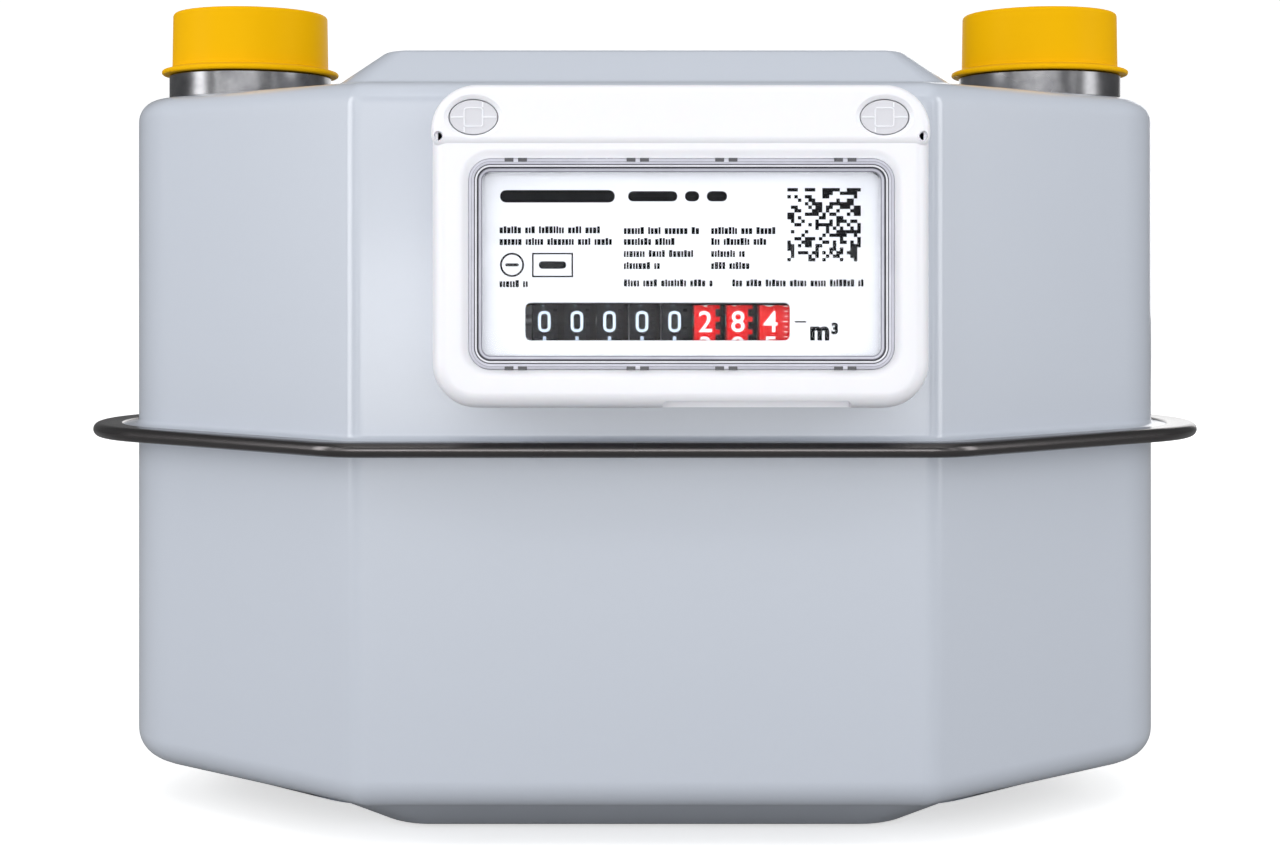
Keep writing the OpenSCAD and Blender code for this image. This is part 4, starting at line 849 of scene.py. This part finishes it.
def makeClips():
    # the dark slabs are painted shade in the clip slots, and the pale nibs between them are painted light
    dark, pale = [], []
    for x in clips["places"]:
        for edge in (-1, 1):
            z = windowMidZ + edge * (windowHalfH - 0.5) * mm
            half = clips["height"] / 2 * mm
            y = paneFrontY - 0.02 * mm
            for x0, x1 in ((-clips["halfWidth"], -clips["nib"]), (clips["nib"], clips["halfWidth"])):
                dark.append(slab((x + x0) * mm, (x + x1) * mm, z - half, z + half,
                                 y, y + 0.7 * mm, 0.06 * mm))
            inner = z - edge * 0.5 * mm
            pale.append(slab((x - clips["nib"]) * mm, (x + clips["nib"]) * mm, min(z, inner) - half / 2,
                             max(z, inner) + half / 2, y - 0.06 * mm, y + 0.7 * mm, 0.1 * mm))
    dress(makePiece("window_clip_slots", *joinParts(dark)), root, "rimPaintedDeepShade")
    dress(makePiece("window_clip_nibs", *joinParts(pale)), root, "rimPaintedLight")


dress(makeRim(), root, "rimPaintedHighlight")
dress(makePane(), root, "windowClear", ["index_window"])
makeClips()
print("stage: window fitted")


# dial plate and its print

dial = {  # mm
    "corner": 3.0, "slotX": -31.8, "slotWidth": 70.3, "slotHeight": 10.0, "slotCorner": 1.5,
    # lip: height of the painted shadow strip behind the slot's upper edge
    "ink": 0.06, "lip": 0.65,
}
hinges = {joint["name"]: joint.get("pos_m") for joint in frame["record"]["behaviour"]["joints"]}
drumAxis = Vector(hinges["drum_1_turn"])
drumPitch = (hinges["drum_8_turn"][0] - drumAxis.x) / 7
inkY = dialLow.y - dial["ink"] * mm


def makeDial():
    midX, midZ = (dialLow.x + dialHigh.x) / 2, (dialLow.z + dialHigh.z) / 2
    halfW, halfH = (dialHigh.x - dialLow.x) / 2 / mm, (dialHigh.z - dialLow.z) / 2 / mm
    slotMid = (dial["slotX"] + dial["slotWidth"] / 2) * mm

    def edgeRing(y):
        outline = roundRect(halfW, halfH, dial["corner"], 10)
        return facing(inMetres(outline), midX, midZ, y)

    def slotRing(grow, y):
        outline = roundRect(dial["slotWidth"] / 2 + grow, dial["slotHeight"] / 2 + grow,
                            dial["slotCorner"] + grow, 10)
        return facing(inMetres(outline), slotMid, drumAxis.z, y)

    front, back = dialLow.y, dialHigh.y
    rings = [edgeRing(back), edgeRing(front), slotRing(0.35, front), slotRing(0.1, front + 0.12 * mm),
             slotRing(0, front + 0.4 * mm), slotRing(0, back)]
    return makePiece("dial_printed", *stackRings(rings, loop=True))


def ink(x0, x1, z0, z1):
    return slab(x0 * mm, x1 * mm, z0 * mm, z1 * mm, inkY, dialLow.y + 0.02 * mm)


def frameInk(x0, x1, z0, z1, line):
    return [ink(x0, x1, z1 - line, z1), ink(x0, x1, z0, z0 + line),
            ink(x0, x0 + line, z0 + line, z1 - line), ink(x1 - line, x1, z0 + line, z1 - line)]


def barInk(x0, x1, z, height):
    # bar with round ends
    radius = height / 2
    outline = [(x1 - radius + radius * c, z + radius * s) for c, s in arcPoints(12, -90, 90)]
    outline += [(x0 + radius + radius * c, z + radius * s) for c, s in arcPoints(12, 90, 270)]
    depths = (dialLow.y + 0.02 * mm, inkY)
    return stackRings([[Vector((u * mm, y, v * mm)) for u, v in outline] for y in depths])


def ringInk(x, z, radius, line, steps=60):
    profile = [(radius, 0.02), (radius, -dial["ink"]), (radius - line, -dial["ink"]), (radius - line, 0.02)]
    rings = []
    for r, depth in profile:
        rings.append(facing(ovalOutline(r * mm, r * mm, steps), x * mm, z * mm, dialLow.y + depth * mm))
    return stackRings(rings, loop=True)


greek = {"height": 1.85, "gap": 0.24, "space": 0.9}  # unreadable small print, mm
greekLines = [  # left, right, height of the line's middle
    (-38.6, -11.4, 173.9), (-38.6, -8.4, 170.8), (-38.6, -30.6, 159.6),
    (-5.6, 14.4, 173.7), (-5.6, 7.8, 170.8), (-5.6, 12.9, 167.6), (-5.6, 4.4, 164.4),
    (17.6, 34.6, 173.7), (17.6, 32.8, 170.8), (17.6, 27.0, 167.6), (17.6, 28.0, 164.4),
    (-5.6, 17.9, 159.8), (23.2, 58.0, 159.8),
]
markGrid = {"x0": 37.8, "x1": 57.3, "z0": 165.5, "cells": 21, "filled": 0.47}  # random square pattern, mm


def greekLine(left, right, z, chance):
    parts, x = [], left
    lettersLeft = chance.randint(3, 8)
    while x < right - 0.5:
        width = min(chance.choice((0.5, 0.7, 0.85)), right - x)
        rise = chance.choice((0.0, 0.0, 0.3))
        parts.append(ink(x, x + width, z - greek["height"] / 2, z + greek["height"] / 2 - 0.3 + rise))
        x += width + greek["gap"]
        lettersLeft -= 1
        if lettersLeft == 0:
            x += greek["space"]
            lettersLeft = chance.randint(3, 8)
    return parts


def makePrint():
    chance = random.Random(11)
    parts = [barInk(-38.5, -8.0, 182.8, 3.3)]
    parts += [barInk(x0, x1, 182.8, 2.7) for x0, x1 in ((-4.5, 8.6), (10.6, 14.4), (16.4, 21.8))]
    for left, right, z in greekLines:
        parts += greekLine(left, right, z, chance)
    parts.append(ringInk(-35.3, 164.6, 3.2, 0.5))
    parts.append(barInk(-37.1, -33.5, 164.6, 0.8))
    parts += frameInk(-30.0, -19.1, 161.3, 167.8, 0.42)
    parts.append(barInk(-28.2, -20.9, 164.55, 2.0))
    parts.append(ink(39.8, 42.8, drumAxis.z / mm - 0.22, drumAxis.z / mm + 0.2))
    cell = (markGrid["x1"] - markGrid["x0"]) / markGrid["cells"]
    for row in range(markGrid["cells"]):
        z = markGrid["z0"] + row * cell
        for column in range(markGrid["cells"]):
            if chance.random() < markGrid["filled"]:
                x = markGrid["x0"] + column * cell
                parts.append(ink(x, x + cell, z, z + cell))
    return makePiece("dial_print", *joinParts(parts))


def glyphMesh(text, size, bold=0.0, extrude=0.0):
    # flat glyph as (points, faces) in its own plane, centred on its own middle
    curve = bpy.data.curves.new("glyph", "FONT")
    curve.body = text
    curve.size = size
    curve.offset = bold
    curve.extrude = extrude
    curve.resolution_u = 4
    holder = bpy.data.objects.new("glyph", curve)
    bpy.context.scene.collection.objects.link(holder)
    bpy.context.view_layer.update()
    mesh = bpy.data.meshes.new_from_object(holder.evaluated_get(bpy.context.evaluated_depsgraph_get()))
    bpy.data.objects.remove(holder)
    points = [v.co.copy() for v in mesh.vertices]
    faces = [tuple(p.vertices) for p in mesh.polygons]
    bpy.data.meshes.remove(mesh)
    midU = (min(p.x for p in points) + max(p.x for p in points)) / 2
    midV = (min(p.y for p in points) + max(p.y for p in points)) / 2
    return [Vector((p.x - midU, p.y - midV, p.z)) for p in points], faces


def makeUnit():
    parts = []
    for text, size, bold, x, z in (("m", 6.9, 0.3, 46.4, 146.4), ("3", 3.9, 0.2, 50.4, 147.7)):
        points, faces = glyphMesh(text, size * mm, bold * mm, 0.04 * mm)
        parts.append(([Vector((x * mm + p.x, inkY + 0.02 * mm - p.z, z * mm + p.y)) for p in points], faces))
    return makePiece("unit_print", *joinParts(parts))


def makeGhosts():
    # faint moulded marks left by the plate's clips
    parts = []
    for x, z in ((-14.9, 164.0), (34.6, 164.0)):
        for k in (-1, 0, 1):
            parts.append(ink(x - 1.8, x + 1.8, z + 1.25 * k - 0.3, z + 1.25 * k + 0.3))
    return makePiece("dial_clip_marks", *joinParts(parts))


def makeSlotShade():
    # black strip behind the slot's upper edge: painted shadow of that edge on the drums
    left = dial["slotX"] + 0.3
    right = dial["slotX"] + dial["slotWidth"] - 0.3
    top = drumAxis.z + dial["slotHeight"] / 2 * mm
    lip = slab(left * mm, right * mm, top - dial["lip"] * mm, top + 0.05 * mm,
               dialLow.y + 0.5 * mm, dialHigh.y, 0.1 * mm)
    return makePiece("slot_painted_shadow", *lip)


dress(makeDial(), root, "dialPaint", ["dial_plate"])
dress(makeSlotShade(), root, "inkBlack")
dress(makePrint(), root, "inkBlack")
dress(makeUnit(), root, "inkBlack")
dress(makeGhosts(), root, "inkGhost")
print("stage: dial printed")


# number drums

drum = {  # mm
    "radius": 11.0, "halfWidth": 3.4, "toothed": 1.15, "toothDepth": 1.3, "teeth": 20, "hub": 3.2,
    "edge": 0.2, "boss": 6.0, "bossOut": 1.6, "lastExtra": 1.3,
    "digitHeight": 5.7, "digitWidth": 3.9, "raised": 0.05, "ticksPerDigit": 5, "tickEnd": 4.1,
}
reading = (0, 0, 0, 0, 0, 2, 8, 4)


def drumBody(number, centre):
    # rim, toothed edge and hub, closed by the two side webs
    perTooth = 8
    steps = drum["teeth"] * perTooth
    radius, half = drum["radius"], drum["halfWidth"]
    right = half + (drum["lastExtra"] if number == 8 else 0.0)
    bossOut = 0.3 if number == 8 else drum["bossOut"]
    profile = [(drum["hub"], -half), (radius - drum["edge"], -half), (radius, -half + drum["edge"]),
               (radius, right - drum["toothed"] - 0.05), (None, right - drum["toothed"]), (None, right),
               (radius - drum["toothDepth"] - 0.6, right), (drum["boss"], right - 0.3),
               (drum["boss"], right + bossOut), (drum["hub"], right + bossOut)]
    rings = []
    for r, across in profile:
        ring = []
        for i, (c, s) in enumerate(arcPoints(steps, 0, 360)[:-1]):
            inGap = number < 8 and i % perTooth >= perTooth // 2
            here = r if r is not None else (radius - drum["toothDepth"] if inGap else radius - 0.05)
            ring.append(centre + Vector((across, -here * c, here * s)) * mm)
        rings.append(ring)
    return stackRings(rings, loop=True)


def wrapOnDrum(points, faces, centre, angle, lift):
    # bends a flat glyph round the drum; it's sliced first, so that it follows the curve
    sliced = bmesh.new()
    made = [sliced.verts.new(p) for p in points]
    for face in faces:
        try:
            sliced.faces.new([made[i] for i in face])
        except ValueError:
            pass
    step = 0.45 * mm
    low, high = min(p.y for p in points), max(p.y for p in points)
    for k in range(1, int((high - low) / step) + 1):
        everything = sliced.verts[:] + sliced.edges[:] + sliced.faces[:]
        bmesh.ops.bisect_plane(sliced, geom=everything, plane_co=(0, low + k * step, 0), plane_no=(0, 1, 0))
    sliced.verts.index_update()
    out = []
    for vert in sliced.verts:
        radius = drum["radius"] * mm + vert.co.z + lift
        turn = angle + vert.co.y / (drum["radius"] * mm)
        out.append(centre + Vector((vert.co.x, -radius * math.cos(turn), radius * math.sin(turn))))
    outFaces = [tuple(v.index for v in face.verts) for face in sliced.faces]
    sliced.free()
    return out, outFaces


def zeroShape():
    # tall narrow ring with round ends
    halfW, halfH, line = 1.68 * mm, drum["digitHeight"] / 2 * mm, 0.78 * mm
    lift = drum["raised"] * mm / 2
    rings = []
    for inset, z in ((0, -lift), (0, lift), (line, lift), (line, -lift)):
        radius = max(halfW * 0.92 - inset, 0.3 * mm)
        rings.append([Vector((u, v, z)) for u, v in roundRect(halfW - inset, halfH - inset, radius, 8)])
    return stackRings(rings, loop=True)


digitShapes = {}
for value in range(10):
    points, faces = glyphMesh(str(value), drum["digitHeight"] * 1.38 * mm, 0.07 * mm, drum["raised"] / 2 * mm)
    tall = max(p.y for p in points) * 2
    wide = max(p.x for p in points) * 2
    scaleV = drum["digitHeight"] * mm / tall
    scaleU = min(1.0, drum["digitWidth"] * mm / wide)
    digitShapes[value] = ([Vector((p.x * scaleU, p.y * scaleV, p.z)) for p in points], faces)


def makeDrum(number):
    body = f"drum_{number}"
    centre = drumAxis + Vector(((number - 1) * drumPitch, 0, 0))
    rim = makePiece(body + "_rim", *drumBody(number, centre))
    rim.data.materials.append(finishes["drumBlack" if number <= 5 else "drumRed"])
    rim.data.materials.append(finishes["drumBlack"])
    # the tooth gaps, end web and boss take the black finish: painted shade in the gaps between the teeth and
    # the drums
    fromEnd = drum["toothed"] if number < 8 else -drum["lastExtra"]
    edge = centre.x + (drum["halfWidth"] - (fromEnd + 0.08)) * mm
    for face in rim.data.polygons:
        fromAxis = math.hypot(face.center.y - centre.y, face.center.z - centre.z)
        if face.center.x > edge and fromAxis < (drum["radius"] - 0.4) * mm:
            face.material_index = 1
    dress(rim, body, "drumRed", [body], sharpAngle=28)
    parts = []
    for k in range(10):
        value = (reading[number - 1] + k) % 10
        angle = -math.radians(36 * k)
        shape = zeroShape() if value == 0 and number <= 5 else digitShapes[value]
        side = -0.45 * mm if number > 5 else 0.0
        moved = [p + Vector((side, 0, 0)) for p in shape[0]]
        parts.append(wrapOnDrum(moved, shape[1], centre, angle, drum["raised"] / 2 * mm))
        if number == 8:
            for tick in range(drum["ticksPerDigit"]):
                turn = angle + math.radians(36 * tick / drum["ticksPerDigit"])
                long = 1.3 if tick == 0 else 0.95
                points, faces = slab((drum["tickEnd"] - long) * mm, drum["tickEnd"] * mm,
                                     -0.09 * mm, 0.09 * mm, -0.03 * mm, 0.03 * mm)
                flat = [Vector((p.x, p.z, p.y)) for p in points]
                parts.append(wrapOnDrum(flat, faces, centre, turn, 0.03 * mm))
    finish = "digitPale" if number <= 5 else "digitWhite"
    dress(makePiece(body + "_digits", *joinParts(parts)), body, finish)


for number in range(1, 9):
    makeDrum(number)
print("stage: drums numbered")


# studio

studio = {  # metres and watts
    "floorSize": 6.0, "skyHigh": 0.5, "skyLow": 0.42, "skyInGloss": 0.45, "backdrop": 1.0,
    "floorGlow": 0.55, "floorBounce": 0.34, "keyPower": 5.4, "topPower": 2.0, "sidePower": 7.6,
    "backPower": 6.0, "lowPower": 4.4, "edgePower": 1.8,
}


def makeFloor():
    half = studio["floorSize"] / 2
    rings = []
    for c, s in arcPoints(24, 0, 90):
        rings.append((1.2 + 1.0 * s, 1.0 * (1 - c)))
    depth = [(-half, 0.0)] + [(0.0, 0.0)] + rings + [(2.2, 3.0)]
    points, faces = [], []
    for y, z in depth:
        points += [Vector((-half, y, z - 0.0005)), Vector((half, y, z - 0.0005))]
    for k in range(len(depth) - 1):
        faces.append((2 * k, 2 * k + 1, 2 * k + 3, 2 * k + 2))
    floor = makePiece("studio_floor", points, faces)
    floor.data.shade_smooth()
    material = makeFinish("paleFloor", base=(0.9, 0.9, 0.9), tone=(0.885, 0.885, 0.885), rough=0.9, wear=0.0,
                          dust=0.0, grain=60.0, bump=0.02)
    nodes, links = material.node_tree.nodes, material.node_tree.links
    shader = nodes["Principled BSDF"]
    shader.inputs["Emission Color"].default_value = (1.0, 1.0, 1.0, 1.0)
    shader.inputs["Emission Strength"].default_value = studio["floorGlow"]
    dim = nodes.new("ShaderNodeBsdfDiffuse")  # what the object itself gets back from the floor
    dim.inputs["Color"].default_value = (studio["floorBounce"],) * 3 + (1.0,)
    mixByRay(nodes, links, "Is Camera Ray", dim.outputs["BSDF"], shader.outputs["BSDF"],
             nodes["Material Output"])
    floor.data.materials.append(material)


def addPanel(name, place, target, size, power, tint=(1.0, 1.0, 1.0)):
    light = bpy.data.lights.new(name, "AREA")
    light.shape = "RECTANGLE"
    light.size, light.size_y = size
    light.energy = power
    light.color = tint
    holder = bpy.data.objects.new(name, light)
    holder.location = place
    holder.rotation_mode = "QUATERNION"
    holder.rotation_quaternion = (Vector(target) - Vector(place)).to_track_quat("-Z", "Y")
    bpy.context.scene.collection.objects.link(holder)


makeFloor()
middle = (cadBox[0] + cadBox[1]) / 2
addPanel("key_panel", (-0.2, -1.5, 0.36), middle, (1.5, 0.7), studio["keyPower"])
addPanel("low_panel", (0.0, -1.5, 0.1), middle, (1.6, 0.18), studio["lowPower"])
addPanel("left_edge", (-0.95, -1.1, 0.3), middle, (0.1, 1.3), studio["edgePower"])
addPanel("right_edge", (0.95, -1.1, 0.3), middle, (0.1, 1.3), studio["edgePower"] * 0.8)
addPanel("crown_edge", (0.0, -0.9, 1.2), middle, (1.6, 0.12), studio["edgePower"])
addPanel("top_panel", (0.0, -0.2, 1.3), middle, (1.4, 1.0), studio["topPower"])
addPanel("left_strip", (-1.2, -0.5, 0.35), middle, (0.4, 1.2), studio["sidePower"])
addPanel("right_strip", (1.2, -0.5, 0.35), middle, (0.4, 1.2), studio["sidePower"] * 0.85)
addPanel("back_strip", (0.3, 1.5, 0.5), middle, (1.4, 0.8), studio["backPower"])


def makeSky():
    # soft light, strongest from above, in front of a white backdrop
    world = bpy.data.worlds.new("paleStudio")
    world.use_nodes = True
    nodes, links = world.node_tree.nodes, world.node_tree.links
    soft = nodes["Background"]
    soft.inputs["Color"].default_value = (0.97, 0.985, 1.0, 1.0)
    place = nodes.new("ShaderNodeTexCoord")
    parts = nodes.new("ShaderNodeSeparateXYZ")
    rise = nodes.new("ShaderNodeMapRange")
    rise.inputs["From Min"].default_value = -0.35
    rise.inputs["From Max"].default_value = 0.45
    rise.inputs["To Min"].default_value = studio["skyLow"]
    rise.inputs["To Max"].default_value = studio["skyHigh"]
    backdrop = nodes.new("ShaderNodeBackground")
    backdrop.inputs["Strength"].default_value = studio["backdrop"]
    backdrop.inputs["Color"].default_value = (1.0, 1.0, 1.0, 1.0)
    ray = nodes.new("ShaderNodeLightPath")
    mix = nodes.new("ShaderNodeMixShader")
    links.new(place.outputs["Generated"], parts.inputs["Vector"])
    links.new(parts.outputs["Z"], rise.inputs["Value"])
    calm = nodes.new("ShaderNodeMapRange")  # reflections of the sky are fainter than its light
    calm.inputs["To Min"].default_value = 1.0
    calm.inputs["To Max"].default_value = studio["skyInGloss"]
    level = nodes.new("ShaderNodeMath")
    level.operation = "MULTIPLY"
    links.new(rise.outputs["Result"], level.inputs[0])
    links.new(calm.outputs["Result"], level.inputs[1])
    links.new(level.outputs["Value"], soft.inputs["Strength"])
    links.new(ray.outputs["Is Glossy Ray"], calm.inputs["Value"])
    links.new(ray.outputs["Is Camera Ray"], mix.inputs["Fac"])
    links.new(soft.outputs["Background"], mix.inputs[1])
    links.new(backdrop.outputs["Background"], mix.inputs[2])
    links.new(mix.outputs["Shader"], nodes["World Output"].inputs["Surface"])
    bpy.context.scene.world = world


makeSky()
bpy.context.scene.view_settings.view_transform = "Standard"
bpy.context.scene.view_settings.look = "None"

cameraSpec = {"distance": 0.62, "height": 0.1627, "lens": 54.96, "shiftX": -0.0039, "shiftY": -0.1207}
camera = bpy.data.objects.new("camera", bpy.data.cameras.new("camera"))
camera.location = (0.0, midY - cameraSpec["distance"], cameraSpec["height"])
camera.rotation_euler = (math.radians(90), 0.0, 0.0)
camera.data.lens = cameraSpec["lens"]
camera.data.shift_x = cameraSpec["shiftX"]
camera.data.shift_y = cameraSpec["shiftY"]
camera.data.clip_start = 0.01
bpy.context.scene.collection.objects.link(camera)
bpy.context.scene.camera = camera
print("stage: studio lit")
